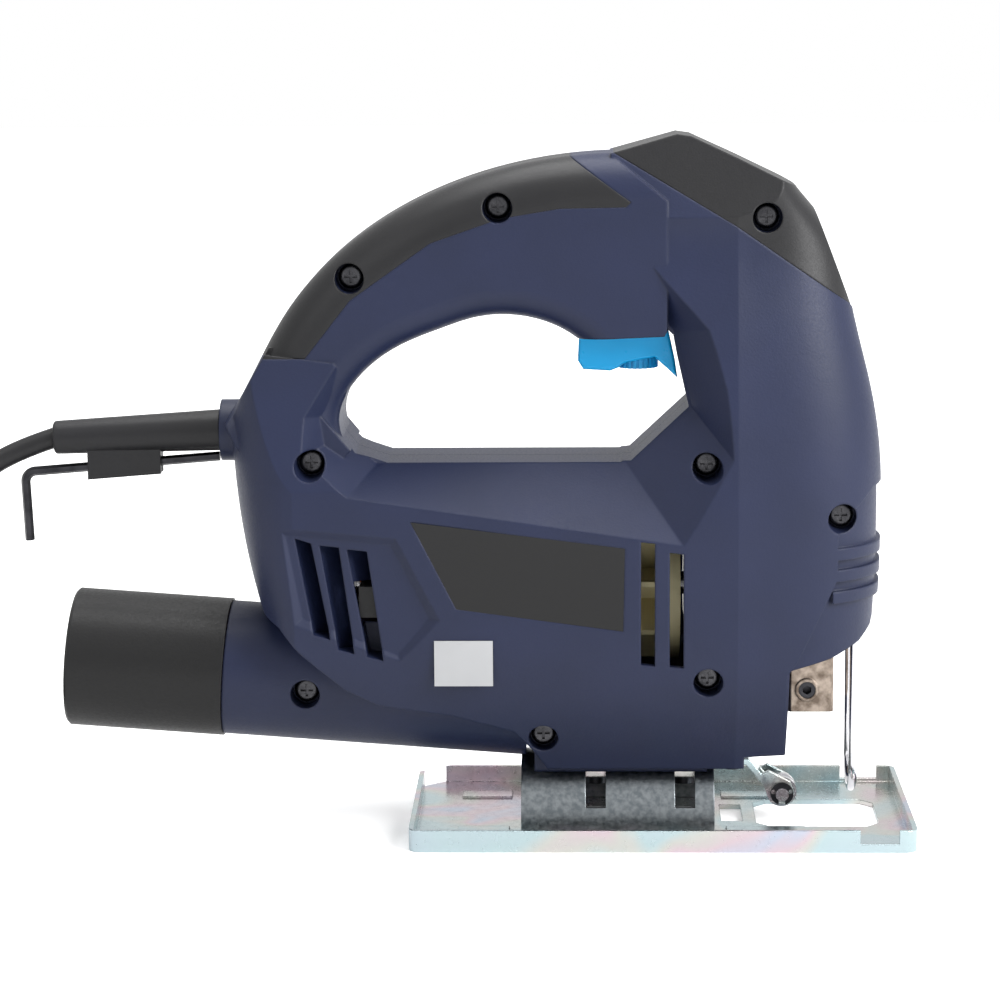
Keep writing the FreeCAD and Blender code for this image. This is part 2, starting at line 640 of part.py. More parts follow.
def slot_outline(rear, front, half):
    """Blade gap: a rectangle with its four corners cut off at 45 degrees."""
    c = 4.0
    return [(rear + c, -half), (front - c, -half), (front, -half + c), (front, half - c), (front - c, half),
            (rear + c, half), (rear, half - c), (rear, -half + c)]


def arch(outer, inner, rear, front):
    """Half tube over the sole, round the tilt axis."""
    start = V(rear, 0, size("tilt_height"))
    shell = cylinder(outer, front - rear, start, V(1, 0, 0)).cut(
        cylinder(inner, front - rear, start, V(1, 0, 0)))
    return shell.common(block((rear, -60, size("base_sheet")), (front, 60, 60)))


def tilt_bracket():
    outer = size("bracket_radius")
    shell = arch(outer, outer - size("bracket_sheet"), size("bracket_rear"), size("bracket_front"))
    half = size("bracket_slot") / 2
    slots = [block((x - half, -30, 8.2), (x + half, 30, 40)) for x in BOLT_PLACES]
    feature("tilt_bracket", shell.cut(slots))


def base_clamp():
    """Curved plate inside the bracket, and the two bolts that pull it up to the housing."""
    outer = size("bracket_radius") - size("bracket_sheet") - 0.1
    inner = outer - 3.0
    bar = arch(outer, inner, BOLT_PLACES[0] - 6.5, BOLT_PLACES[1] + 6.5)
    bar = bar.common(block((-60, -7.0, 0), (60, 7.0, 60)))
    top = size("tilt_height") + math.sqrt(inner ** 2 - 4.2 ** 2)
    feature("base_clamp_plate", bar.cut(clamp_bolts_way(2.5, 34.0)))
    bolts = []
    for x in BOLT_PLACES:
        head = cylinder(4.2, 4.0, V(x, 0, top - 4.0), V(0, 0, 1)).cut(
            hexagon(4.0, 2.4, V(x, 0, top - 4.0), V(0, 0, 1)))
        bolts.append(head.fuse(cylinder(2.5, 33.0 - top, V(x, 0, top), V(0, 0, 1))))
    feature("base_clamp_bolts", Part.makeCompound(bolts))


def hexagon(across, depth, base, axis):
    """Hexagonal prism, across its flats, standing on base."""
    ring_points = []
    for i in range(7):
        angle = math.radians(60 * i + 30)
        ring_points.append(V(across / math.sqrt(3) * math.cos(angle), across / math.sqrt(3) * math.sin(angle), 0))
    prism = Part.Face(Part.makePolygon(ring_points)).extrude(V(0, 0, depth))
    prism.Placement = FreeCAD.Placement(base, FreeCAD.Rotation(V(0, 0, 1), axis))
    return prism


# ---------------------------------------------------------------- motor and gears

GEAR_PRESSURE = math.radians(25.0)
GEAR_BACKLASH = 0.14
PINION_PLACE = 21.0


def spread(angle):
    return math.tan(angle) - angle


def toothed(teeth, module, addendum, dedendum, first):
    """Face of an involute spur gear in the YZ plane, with a tooth at angle first from +Z."""
    pitch = module * teeth / 2
    base = pitch * math.cos(GEAR_PRESSURE)
    tip = pitch + addendum * module
    root = pitch - dedendum * module
    half_pitch = math.pi / (2 * teeth) - GEAR_BACKLASH / (2 * pitch)
    flank = []
    for i in range(4):
        radius = max(base, root) + (tip - max(base, root)) * i / 3
        angle = half_pitch + spread(GEAR_PRESSURE) - spread(math.acos(min(1.0, base / radius)))
        flank.append((radius, angle))
    if root < base:
        flank.insert(0, (root, flank[0][1]))
    points = []
    for i in range(int(teeth)):
        middle = first + 2 * math.pi * i / teeth
        side = [(r, middle - a) for r, a in flank] + [(r, middle + a) for r, a in reversed(flank)]
        points += [V(0, r * math.sin(a), r * math.cos(a)) for r, a in side]
    return Part.Face(Part.makePolygon(points + points[:1]))


def gear_height():
    return size("motor_height") + size("gear_module") * (size("pinion_teeth") + size("gear_teeth")) / 2


def armature():
    motor = size("motor_height")
    radius = size("shaft_radius")
    teeth = toothed(size("pinion_teeth"), size("gear_module"), 0.8, 1.0, 0.0).extrude(V(9.0, 0, 0))
    teeth.translate(V(PINION_PLACE, 0, motor))
    shaft = cylinder(radius, PINION_PLACE - 3.0 + 103.0, V(-103.0, 0, motor), V(1, 0, 0))
    neck = cylinder(2.8, 3.0, V(PINION_PLACE - 3.0, 0, motor), V(1, 0, 0))
    feature("armature_shaft", shaft.fuse([neck, teeth]).removeSplitter())
    centre = size("field_centre")
    length = size("field_length")
    start = centre - length / 2
    axis = V(1, 0, 0)
    bore = cylinder(radius, 200, V(-120, 0, motor), axis)
    core = cylinder(size("armature_radius"), length, V(start, 0, motor), axis)
    slots = []
    for i in range(12):
        slot = block((start - 1, -1.0, size("armature_radius") - 3.2), (start + length + 1, 1.0, 20.0))
        slot.rotate(V(0, 0, 0), axis, 30 * i + 15)
        slot.translate(V(0, 0, motor))
        slots.append(slot)
    feature("armature_core", core.cut(slots).cut(bore))
    coils = [cylinder(13.2, 6.0, V(x, 0, motor), axis).cut(bore) for x in (start - 6.0, start + length)]
    feature("armature_windings", Part.makeCompound(coils))
    commutator = cylinder(size("commutator_radius"), 11.0, V(-90.0, 0, motor), axis).cut(bore)
    gaps = []
    for i in range(16):
        gap = block((-91.0, -0.3, size("commutator_radius") - 1.2), (-78.0, 0.3, 20.0))
        gap.rotate(V(0, 0, 0), axis, 22.5 * i)
        gap.translate(V(0, 0, motor))
        gaps.append(gap)
    feature("commutator", commutator.cut(gaps))
    hub = cylinder(8.0, 11.0, V(-9.0, 0, motor), axis)
    disc = cylinder(size("fan_radius"), 1.5, V(-9.0, 0, motor), axis)
    blades = []
    for i in range(9):
        blade = block((-8.0, -0.8, 7.0), (2.0, 0.8, size("fan_radius") - 0.5))
        blade.rotate(V(0, 0, 0), axis, 40 * i)
        blade.translate(V(0, 0, motor))
        blades.append(blade)
    feature("cooling_fan", disc.fuse([hub] + blades).cut(bore).removeSplitter())


def field():
    """Laminated field core and the ends of its two coils."""
    motor = size("motor_height")
    length = size("field_length")
    start = size("field_centre") - length / 2
    bore = size("armature_radius") + size("air_gap")
    core = cylinder(size("field_radius"), length, V(start, 0, motor), V(1, 0, 0))
    core = core.cut(cylinder(bore, length, V(start, 0, motor), V(1, 0, 0)))
    feature("field_core", core)
    ends = []
    for x in (start - 8.0, start + length):
        wound = cylinder(size("field_radius") - 1.2, 8.0, V(x, 0, motor), V(1, 0, 0))
        wound = wound.cut(cylinder(bore + 0.8, 8.0, V(x, 0, motor), V(1, 0, 0)))
        wound = wound.cut(block((x - 1, -30, motor - 5.0), (x + 9, 30, motor + 5.0)))
        ends += wound.Solids
    feature("field_coils", Part.makeCompound(ends))


def bearings():
    motor = size("motor_height")
    for label, x in (("rear_bearing", -103.5), ("front_bearing", 7.0)):
        ring(label, "Sizes.bearing_radius", "Sizes.shaft_radius + Sizes.running_gap", "Sizes.bearing_width",
             place(x, 0, motor, TO_X))


def brushes():
    """Brass holders with a carbon brush and its spring on each side of the commutator."""
    motor = size("motor_height")
    holders, carbons, springs = [], [], []
    for side in (-1, 1):
        holder = box_between((-89.0, 11.6 * side, motor - 4.6), (-80.0, 28.3 * side, motor + 4.6))
        holder = holder.cut(box_between((-87.6, 10 * side, motor - 3.2), (-81.4, 27.3 * side, motor + 3.2)))
        holders.append(holder)
        carbons.append(box_between((-87.55, (size("commutator_radius") + 0.1) * side, motor - 3.15),
                                   (-81.45, 20.5 * side, motor + 3.15)))
        springs.append(spring(2.2, 0.4, 6.8, 1.7, V(-84.5, 20.5 * side, motor), V(0, side, 0)))
    feature("brush_holders", Part.makeCompound(holders))
    feature("carbon_brushes", Part.makeCompound(carbons))
    feature("brush_springs", Part.makeCompound(springs))


def box_between(a, b):
    low = [min(p, q) for p, q in zip(a, b)]
    high = [max(p, q) for p, q in zip(a, b)]
    return block(low, high)


def spring(radius, wire, length, pitch, base, axis):
    """Coil spring from base along axis; the ends of the wire stay inside the length."""
    helix = Part.makeHelix(pitch, length - 2 * wire, radius)
    section_circle = Part.Wire(Part.makeCircle(wire, V(radius, 0, 0), V(0, 1, 0)))
    coil = Part.Wire(helix).makePipeShell([section_circle], True, True)
    coil.translate(V(0, 0, wire))
    coil.Placement = FreeCAD.Placement(base, FreeCAD.Rotation(V(0, 0, 1), axis)).multiply(coil.Placement)
    return coil


def gearbox():
    """Bearing plate, drive gear on its stub shaft, and the crank pin."""
    motor = size("motor_height")
    height = gear_height()
    plate = gear_plate_outline(9.0, 4.0)
    plate = plate.cut(cylinder(size("bearing_radius") + size("running_gap"), 20, V(0, 0, motor), V(1, 0, 0)))
    feature("gear_plate", plate.cut(cylinder(3.8, 20, V(0, 0, height), V(1, 0, 0))))
    rod_item = rod("gear_stub", "3.8", "20", place(9.0, 0, height, TO_X))
    keep(rod_item, "gear_shaft")
    start = size("gear_start")
    wheel = toothed(size("gear_teeth"), size("gear_module"), 0.7, 1.0,
                    math.pi + math.pi / size("gear_teeth")).extrude(V(size("gear_width"), 0, 0))
    wheel.translate(V(start, 0, height))
    hub = cylinder(7.0, 3.5, V(start - 3.5, 0, height), V(1, 0, 0))
    bore = cylinder(3.8 + size("running_gap"), 40, V(0, 0, height), V(1, 0, 0))
    crank = cylinder(size("crank_pin_radius"), 40, V(start, size("stroke") / 2, height), V(1, 0, 0))
    feature("drive_gear", wheel.fuse(hub).removeSplitter().cut([bore, crank]))
    reach = YOKE_PLACE - size("open_pivot_gap") - start
    rod_item = rod("crank", "Sizes.crank_pin_radius", "%g" % reach, place(start, size("stroke") / 2, height, TO_X))
    keep(rod_item, "crank_pin")


YOKE_PLACE = 34.8


# ---------------------------------------------------------------- plunger and blade clamp

def plunger():
    x = size("plunger_place")
    radius = size("plunger_radius")
    bottom = size("clamp_bottom")
    top = bottom + size("clamp_height")
    up = V(0, 0, 1)
    socket = top - 6.1
    shaft = cylinder(radius, 150.0 - socket, V(x, 0, socket), up)
    feature("plunger", shaft)
    height = gear_height()
    plate = block((YOKE_PLACE, -17.0, height - 8.0), (x - radius + 0.5, 17.0, height + 8.0))
    slot_half = size("crank_pin_radius") + 0.3
    reach = size("stroke") / 2 + slot_half + 0.7
    plate = plate.cut(block((YOKE_PLACE - 1, -reach, height - slot_half), (x, reach, height + slot_half)))
    sleeve = block((x - radius - 0.5, -7.0, height - 6.0), (x + radius + 0.8, 7.0, height + 6.0))
    feature("yoke", plate.fuse(sleeve).cut(shaft).removeSplitter())
    bore = radius + size("running_gap")
    bushes = []
    for outer, low, length in ((8.0, 128.0, 12.0), (7.0, 65.0, 10.0)):
        bushes.append(cylinder(outer, length, V(x, 0, low), up).cut(cylinder(bore, length, V(x, 0, low), up)))
    feature("plunger_bushes", Part.makeCompound(bushes))
    half = size("clamp_width") / 2
    rear = 38.3
    front = rear + size("clamp_length")
    body = block((rear, -half, bottom), (front, half, top))
    body = body.makeChamfer(1.0, [e for e in body.Edges if e.BoundBox.ZLength > 5])
    ring_boss = along_y(44.1, 41.8, 3.5, -half - 0.6, -half)
    slot = block((41.5, -size("blade_slot") / 2, bottom - 1), (front - 2.4, size("blade_slot") / 2, top - 7.0))
    hole = along_y(44.1, 41.8, size("clamp_screw_radius") + size("running_gap"), -half - 2, 0)
    feature("blade_clamp", body.fuse(ring_boss).cut([shaft, slot, hole]).removeSplitter())
    jaw = block((rear + 1.5, -half + 0.6, top + 0.1), (front, half - 0.6, top + 1.5))
    feature("clamp_washer", jaw.cut(shaft))
    screw = along_y(44.1, 41.8, size("clamp_screw_radius"), -half - 0.3, -size("blade_slot") / 2)
    socket_hole = hexagon(2.5, 3.0, V(44.1, -half - 0.3, 41.8), V(0, 1, 0))
    feature("clamp_screw", screw.cut(socket_hole))


# ---------------------------------------------------------------- guide roller and blade guard

def guide_roller():
    x = size("roller_place")
    z = size("roller_height")
    radius = size("roller_radius")
    half = size("roller_width") / 2
    pin = size("roller_pin_radius")
    ear = half + 0.3
    gap = size("running_gap")
    body = doc.addObject("PartDesign::Body", "guide_roller")
    shape = sketch(body, "roller_section", "XZ_Plane")
    draw(shape, [(pin + gap, -half), (radius, -half), (radius, -1.2), (radius - 1.0, -0.9), (radius - 1.0, 0.9),
                 (radius, 1.2), (radius, half), (pin + gap, half)])
    turned = body.newObject("PartDesign::Revolution", "roller_turned")
    turned.Profile = shape
    turned.ReferenceAxis = (shape, ["V_Axis"])
    turned.Angle = 360.0
    body.Tip = turned
    body.Placement = place(x, 0, z, TO_Y)
    keep(body, "guide_roller")
    tongue = slab([(17.5, 17.8), (26.0, 17.8), (31.2, 11.6), (32.6, 12.8), (26.8, 19.7), (17.5, 19.7)],
                  -ear - 1.5, ear + 1.5)
    ears = [slab([(29.0, 14.0), (31.2, 11.6), (33.5, 6.2), (39.6, 5.6), (40.8, 9.0), (39.6, 12.6), (33.0, 16.0)],
                 y, y + 1.5) for y in (-ear - 1.5, ear)]
    axle = along_y(x, z, pin, -20, 20)
    fixing = cylinder(1.6, 30, V(PLATE_SCREW, 0, 10), V(0, 0, 1))
    room = along_y(x, z, radius + 0.6, -ear, ear)
    feature("roller_fork", tongue.cut(room).fuse(ears).removeSplitter().cut([axle, fixing]))
    head = along_y(x, z, 3.2, ear + 1.5, ear + 2.8)
    groove = along_y(x, z, pin + 1, -ear - 2.3, -ear - 1.5).cut(along_y(x, z, pin - 0.4, -20, 20))
    feature("roller_pin", along_y(x, z, pin, -ear - 3.4, ear + 1.6).fuse(head).removeSplitter().cut(groove))
    clip = along_y(x, z, 3.5, -ear - 2.3, -ear - 1.5).cut(along_y(x, z, pin - 0.4, -20, 20))
    mouth = block((x - 1.0, -20, z - 6), (x + 1.0, 20, z))
    notches = [along_y(x + dx, z + dz, 0.7, -20, 20) for dx, dz in ((2.6, 0.6), (-2.6, 0.6))]
    feature("roller_clip", clip.cut([mouth] + notches))
    screw = cylinder(1.6, 12.0, V(PLATE_SCREW, 0, 16.5), V(0, 0, 1))
    head = cylinder(2.9, 1.9, V(PLATE_SCREW, 0, 15.9), V(0, 0, 1)).cut(
        hexagon(2.0, 1.2, V(PLATE_SCREW, 0, 15.9), V(0, 0, 1)))
    feature("fork_screw", screw.cut(block((15, -5, 10), (30, 5, 17))).fuse(head))


def guard_form(radius):
    """U of wire: two legs and a round bottom, in a plane across the tool."""
    x = size("guard_place")
    half = size("guard_half")
    low = 19.0
    top = 67.0
    bend = Part.Arc(V(x, -half, low), V(x, 0, low - half), V(x, half, low)).toShape()
    route = Part.Wire([Part.makeLine(V(x, -half, top), V(x, -half, low)), bend,
                       Part.makeLine(V(x, half, low), V(x, half, top))])
    return route.makePipeShell([Part.Wire(Part.makeCircle(radius, V(x, -half, top), V(0, 0, 1)))], True, False)


def blade_guard():
    feature("blade_guard", guard_form(size("guard_wire_radius")))


# ---------------------------------------------------------------- trigger and switch

TRIGGER = [
    (-24.2, 149.6), (-20.9, 150.3), (-1.8, 153.2), (2.3, 150.6), (4.1, 142.3), (4.9, 136.7),
    (1.8, 139.6), (-1.9, 142.9), (-7.3, 141.9), (-11.0, 141.1), (-12.7, 139.8), (-15.0, 138.9),
    (-23.0, 139.4), (-24.6, 142.0),
]
TRIGGER_NECK = [(-22.0, 148.0), (-22.0, 159.0), (-0.5, 161.5), (0.5, 150.0)]
DIAL_PLACE = -6.9
SWITCH_FLOOR = 168.0


def trigger():
    half = size("trigger_half")
    dial = size("dial_radius")
    form = slab(TRIGGER, -half, half)
    form = form.makeFillet(1.0, [e for e in form.Edges if abs(abs(e.CenterOfMass.y) - half) < 0.01
                                 and e.CenterOfMass.z < 148])
    neck = slab(TRIGGER_NECK, -half + 1.4, half - 1.4)
    well = cylinder(dial + 0.3, 13.0, V(DIAL_PLACE, 0, 136.0), V(0, 0, 1))
    feature("trigger", form.fuse(neck).cut(well).removeSplitter())
    wheel = cylinder(dial, 9.6, V(DIAL_PLACE, 0, 139.3), V(0, 0, 1))
    ribs = []
    for i in range(24):
        groove = block((dial - 0.45, -0.35, 130), (dial + 1, 0.35, 160))
        groove.rotate(V(0, 0, 0), V(0, 0, 1), 15 * i)
        groove.translate(V(DIAL_PLACE, 0, 0))
        ribs.append(groove)
    feature("speed_dial", wheel.cut(ribs))
    foot = 160.6
    feature("trigger_spring", spring(3.2, 0.45, SWITCH_FLOOR - 0.3 - foot, 1.9, V(-14.0, 0, foot), V(0, 0, 1)))
    body = box("switch_block", "34", "18", "14", place(-38.0, -9.0, SWITCH_FLOOR))
    keep(body, "switch_unit")
    x, z = LOCK_PLACE
    radius = size("lock_radius")
    stem = along_y(x, z, radius, 12.3, 21.5)
    stem = stem.makeFillet(1.2, [e for e in stem.Edges if e.CenterOfMass.y > 21 and len(e.Vertexes) == 1])
    feature("lock_button", stem)
    body = box("capacitor_block", "13", "12", "14.6", place(24.0, -6.0, 165.1))
    keep(body, "capacitor")


# ---------------------------------------------------------------- screws, labels, small pieces

def housing_screws():
    """Cross-head screws with round heads in the right half's recesses."""
    radius = size("screw_radius")
    head = size("screw_head_radius")
    screws = []
    for x, z, seat, boss in SCREWS:
        shank = along_y(x, z, radius, -seat, SCREW_REACH)
        top = along_y(x, z, head, -seat - 2.2, -seat)
        face = -seat - 2
        top = top.makeFillet(1.2, [e for e in top.Edges if e.CenterOfMass.y < face and len(e.Vertexes) == 1])
        cross = [block((x - 1.9, -seat - 3, z - 0.4), (x + 1.9, -seat - 1.0, z + 0.4)),
                 block((x - 0.4, -seat - 3, z - 1.9), (x + 0.4, -seat - 1.0, z + 1.9))]
        screws.append(shank.fuse(top).removeSplitter().cut(cross))
    feature("housing_screws", Part.makeCompound(screws))


def labels():
    """Bare rating plate in its recess, and a bare sticker."""
    level = -BODY_HALF - 0.03
    feature("rating_plate", slab(LABEL, level, level + LABEL_DEPTH).common(
        slab(LABEL, -45, -BODY_HALF + LABEL_DEPTH)))
    feature("sticker", slab(STICKER, -BODY_HALF - 0.15 - STICKER_DEPTH, -BODY_HALF - 0.15))


# ---------------------------------------------------------------- dust adapter

def dust_adapter():
    """Sleeve for a hose, with a spigot that pushes into the tube; turned about the tube's axis."""
    outer = size("adapter_radius")
    bore = size("adapter_bore")
    length = size("adapter_length")
    spigot = size("tube_radius") - size("tube_wall") - 0.1
    overlap = size("adapter_overlap")
    body = doc.addObject("PartDesign::Body", "dust_adapter")
    shape = sketch(body, "adapter_section", "XZ_Plane")
    shoulder = length - 0.15
    end = length + overlap
    draw(shape, [(bore + 0.5, 0), (outer - 0.8, 0), (outer, 0.8), (outer, shoulder), (spigot, shoulder),
                 (spigot, end - 1), (spigot - 0.8, end), (spigot - 2.2, end),
                 (spigot - 2.2, length - 3.0), (bore, length - 5.0), (bore, 0.5)])
    turned = body.newObject("PartDesign::Revolution", "adapter_turned")
    turned.Profile = shape
    turned.ReferenceAxis = (shape, ["V_Axis"])
    turned.Angle = 360.0
    body.Tip = turned
    axis = tube_axis()
    rear = TUBE_REAR - axis * length
    body.Placement = FreeCAD.Placement(rear, FreeCAD.Rotation(V(0, 0, 1), axis))
    keep(body, "dust_adapter")


# ---------------------------------------------------------------- cord, boot, key and plug

CORD = [
    (-182.1, 0.0, 118.4), (-192.4, -1.6, 115.2), (-203.2, -6.4, 109.4), (-213.2, -13.1, 100.0),
    (-220.9, -19.2, 86.5), (-225.0, -23.0, 70.1), (-226.6, -24.1, 54.2), (-230.7, -24.1, 40.9),
    (-239.7, -24.1, 30.2), (-252.1, -24.1, 23.6), (-266.0, -24.1, 21.7),
]
COIL_CENTRE = (-266.0, 13.0)
COIL_LAYERS = 4
PLUG_PLACE = V(-292.4, -33.0, 8.5)
PLUG_END = [
    (-239.0, -14.0, 3.1), (-249.0, -24.4, 3.2), (-261.2, -31.0, 3.9), (-274.2, -33.4, 5.6),
    (-284.6, -33.2, 7.5), tuple(PLUG_PLACE),
]
KEY = [(-132.4, 112.6), (-191.5, 107.9), (-190.7, 87.0)]
KEY_BEND = 3.2


def rounded_wire(points):
    """Straight runs joined by the largest tangent arcs that they allow."""
    edges = []
    last = points[0]
    for before, here, after in zip(points, points[1:], points[2:]):
        back = before - here
        on = after - here
        shorter = min(back.Length, on.Length)
        turn = math.pi - back.getAngle(on)
        trim = 0.45 * shorter
        radius = trim / math.tan(turn / 2)
        back.normalize()
        on.normalize()
        middle = (back + on).normalize() * (radius / math.cos(turn / 2) - radius)
        edges.append(Part.makeLine(last, here + back * trim))
        edges.append(Part.Arc(here + back * trim, here + middle, here + on * trim).toShape())
        print("cord bend radius %.1f, turn %.0f" % (radius, math.degrees(turn)))
        last = here + on * trim
    edges.append(Part.makeLine(last, points[-1]))
    return Part.Wire(edges)


def cord_tube(points, radius):
    route = rounded_wire([V(*p) for p in points])
    start = V(*points[0])
    ahead = V(*points[1]) - start
    tube = route.makePipeShell([Part.Wire(Part.makeCircle(radius, start, ahead))], True, False)
    print("tube %.0f of %.0f" % (tube.Volume, route.Length * math.pi * radius ** 2))
    return tube


def boot_axis():
    droop = math.radians(BOOT_DROOP)
    return V(-math.cos(droop), 0, -math.sin(droop))


def cord_parts():
    radius = size("cord_radius")
    x, z = COLLAR_CENTRE
    start = V(x - BOOT_START, 0, z)
    length = size("boot_length")
    neck = cylinder(size("boot_neck_radius"), 11.0, V(x - 1.0, 0, z), V(1, 0, 0))
    cone = Part.makeCone(size("boot_root_radius"), size("boot_tip_radius"), length, start, boot_axis())
    cone = cone.makeFillet(1.0, [e for e in cone.Edges if len(e.Vertexes) == 1 and e.CenterOfMass.x < x - 40])
    clip = slab([(-172.0, 106.0), (-150.0, 107.7), (-150.0, 116.0), (-172.0, 116.0)], -3.3, 3.3)
    tip = start + boot_axis() * (length - 0.2)
    beyond = start + boot_axis() * (length + 2.0)
    bore = cord_tube([(x + CORD_INSIDE, 0, z), tuple(start), tuple(beyond)], radius + size("running_gap"))
    key_way = V(KEY[1][0] - KEY[0][0], 0, KEY[1][1] - KEY[0][1]).normalize()
    groove = cylinder(size("key_radius") + size("running_gap"), 80, V(KEY[0][0], 0, KEY[0][1]), key_way)
    mouth = slab([(-173.0, 100.0), (-149.0, 100.0), (-149.0, 110.6), (-173.0, 108.9)], -0.9, 0.9)
    boot = neck.fuse([cone, clip]).cut([bore, groove, mouth])
    feature("cord_boot", boot.removeSplitter())
    feature("cord_inner", cord_tube([(x + CORD_INSIDE, 0, z), tuple(start), tuple(tip)], radius))
    feature("cord_run", cord_tube(CORD, radius))
    rings = size("coil_radius")
    low = cylinder(rings + 2 * radius, COIL_LAYERS * 2 * radius, V(*COIL_CENTRE, 0.0), V(0, 0, 1))
    hole = cylinder(rings - 2 * radius, COIL_LAYERS * 2 * radius, V(*COIL_CENTRE, 0.0), V(0, 0, 1))
    feature("cord_coil", low.cut(hole))
    feature("cord_end", cord_tube(PLUG_END, radius))
    clamp_lower = block((-120.8, -8.0, 113.2), (-112.5, 8.0, z - radius))
    clamp_bar = block((-120.8, -8.0, z + radius), (-113.5, 8.0, z + radius + 2.4))
    screws, ways = [], []
    for y in (-5.6, 5.6):
        shank = cylinder(1.5, 11.5, V(-117.2, y, 114.6), V(0, 0, 1))
        head = cylinder(2.3, 1.6, V(-117.2, y, z + radius + 2.4), V(0, 0, 1))
        screws.append(shank.fuse(head).removeSplitter())
        ways.append(shank)
    feature("cord_clamp", Part.makeCompound([clamp_lower.cut(ways), clamp_bar.cut(ways)]))
    feature("cord_clamp_screws", Part.makeCompound(screws))


def leads():
    """Two insulated leads: cord to switch, and switch to brushes."""
    to_switch = [(-110.2, -1.2, 120.8), (-109.6, -2.4, 128.0), (-107.0, -3.4, 138.0), (-99.5, -3.8, 148.0),
                 (-89.0, -4.0, 157.2),
                 (-74.0, -4.0, 164.5), (-56.0, -4.0, 170.5), (-38.0, -4.0, 173.0)]
    to_brush = [(-38.0, 4.0, 171.0), (-56.0, 4.0, 168.0), (-74.0, 4.0, 161.5), (-89.0, 4.0, 153.0),
                (-101.0, 4.0, 142.0), (-110.6, 4.4, 129.0), (-111.4, 5.0, 113.0), (-107.0, 7.5, 100.0),
                (-97.0, 12.0, 90.5), (-87.0, 17.5, 82.0)]
    feature("internal_leads", Part.makeCompound([cord_tube(to_switch, 1.2), cord_tube(to_brush, 1.2)]))


def hex_key():
    """Key bent from hexagonal bar, 2.5 mm across its flats."""
    a, b, c = [V(x, 0, z) for x, z in KEY]
    back = (a - b).normalize()
    on = (c - b).normalize()
    turn = math.pi - back.getAngle(on)
    trim = KEY_BEND * math.tan(turn / 2)
    middle = (back + on).normalize() * (KEY_BEND / math.cos(turn / 2) - KEY_BEND)
    route = Part.Wire([Part.makeLine(a, b + back * trim),
                       Part.Arc(b + back * trim, b + middle, b + on * trim).toShape(),
                       Part.makeLine(b + on * trim, c)])
    corners = []
    side = V(0, 1, 0)
    up = back.cross(side)
    for i in range(7):
        angle = math.radians(60 * i + 30)
        corners.append(a + (side * math.cos(angle) + up * math.sin(angle)) * size("key_radius"))
    feature("hex_key", route.makePipeShell([Part.makePolygon(corners)], True, False))


def plug():
    """Plain moulded plug with two flat pins, lying on the floor."""
    x, y, z = PLUG_PLACE
    relief = Part.makeCone(4.2, 6.2, 14.5, PLUG_PLACE, V(-1, 0, 0))
    body = block((x - 48.5, y - 12.5, 0.0), (x - 12.5, y + 12.5, 2 * z))
    body = body.makeFillet(4.0, [e for e in body.Edges
                                 if e.BoundBox.XLength > 30 or e.CenterOfMass.x > x - 13.0])
    feature("plug_body", relief.fuse(body).removeSplitter())
    low, high = z - 3.2, z + 3.2
    pins = [block((x - 64.5, side - 0.75, low), (x - 48.5, side + 0.75, high)) for side in (y - 6.35, y + 6.35)]
    feature("plug_pins", Part.makeCompound(pins))


def build():
    housing_parts()
    base_plate()
    tilt_bracket()
    base_clamp()
    armature()
    field()
    bearings()
    brushes()
    gearbox()
    plunger()
    guide_roller()
    blade_guard()
    trigger()
    housing_screws()
    labels()
    dust_adapter()
    cord_parts()
    leads()
    hex_key()
    plug()


def export():
    """Recompute, check every object and write one file per piece."""
    doc.recompute()
    for item in doc.Objects:
        if "Invalid" in item.State or "Error" in item.State:
            raise RuntimeError("%s: %s" % (item.Label, item.State))
    for label, item in pieces.items():
        shape = item.Shape
        if shape.isNull() or not shape.isValid() or not shape.Solids:
            raise RuntimeError("%s has no sound shape" % label)
    os.makedirs("parts", exist_ok=True)
    for label, item in pieces.items():
        item.Shape.exportStep("parts/%s.step" % label)


build()
export()
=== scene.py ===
# A corded jigsaw standing on its base, seen from its right-hand side.
import math

import bmesh
import bpy
from mathutils import Matrix, Vector


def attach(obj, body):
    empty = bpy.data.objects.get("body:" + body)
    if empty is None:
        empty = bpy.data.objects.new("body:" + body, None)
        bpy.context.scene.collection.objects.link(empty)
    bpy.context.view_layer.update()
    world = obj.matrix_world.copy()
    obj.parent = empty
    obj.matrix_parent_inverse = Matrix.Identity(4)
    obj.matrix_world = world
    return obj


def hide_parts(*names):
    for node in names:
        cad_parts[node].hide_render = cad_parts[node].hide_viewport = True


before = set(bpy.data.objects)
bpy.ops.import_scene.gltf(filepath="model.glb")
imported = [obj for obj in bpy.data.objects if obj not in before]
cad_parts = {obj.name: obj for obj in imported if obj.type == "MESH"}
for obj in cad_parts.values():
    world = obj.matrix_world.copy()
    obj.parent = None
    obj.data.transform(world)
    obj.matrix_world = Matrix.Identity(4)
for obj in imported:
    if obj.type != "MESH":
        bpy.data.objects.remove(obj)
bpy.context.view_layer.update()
scene = bpy.context.scene
MM = 0.001

# ---------------------------------------------------------------- camera
# A long lens 0.9 m from the tool, a little above the handle, that looks slightly down on its right side.
# The lens is turned a degree or two and rolled by half a degree, as a hand-set tripod is.

EYE = Vector((-22.3, -895.6, 258.0)) * MM
TURN_LEFT, TILT_DOWN, ROLL = math.radians(1.654), math.radians(10.07), math.radians(-0.44)
FOCAL_LENGTH, SENSOR = 108.8, 36.0

ahead = Vector((-math.sin(TURN_LEFT) * math.cos(TILT_DOWN), math.cos(TURN_LEFT) * math.cos(TILT_DOWN),
                -math.sin(TILT_DOWN)))
level = ahead.cross(Vector((0, 0, 1))).normalized()
above = level.cross(ahead)
right = level * math.cos(ROLL) + above * math.sin(ROLL)
up = above * math.cos(ROLL) - level * math.sin(ROLL)

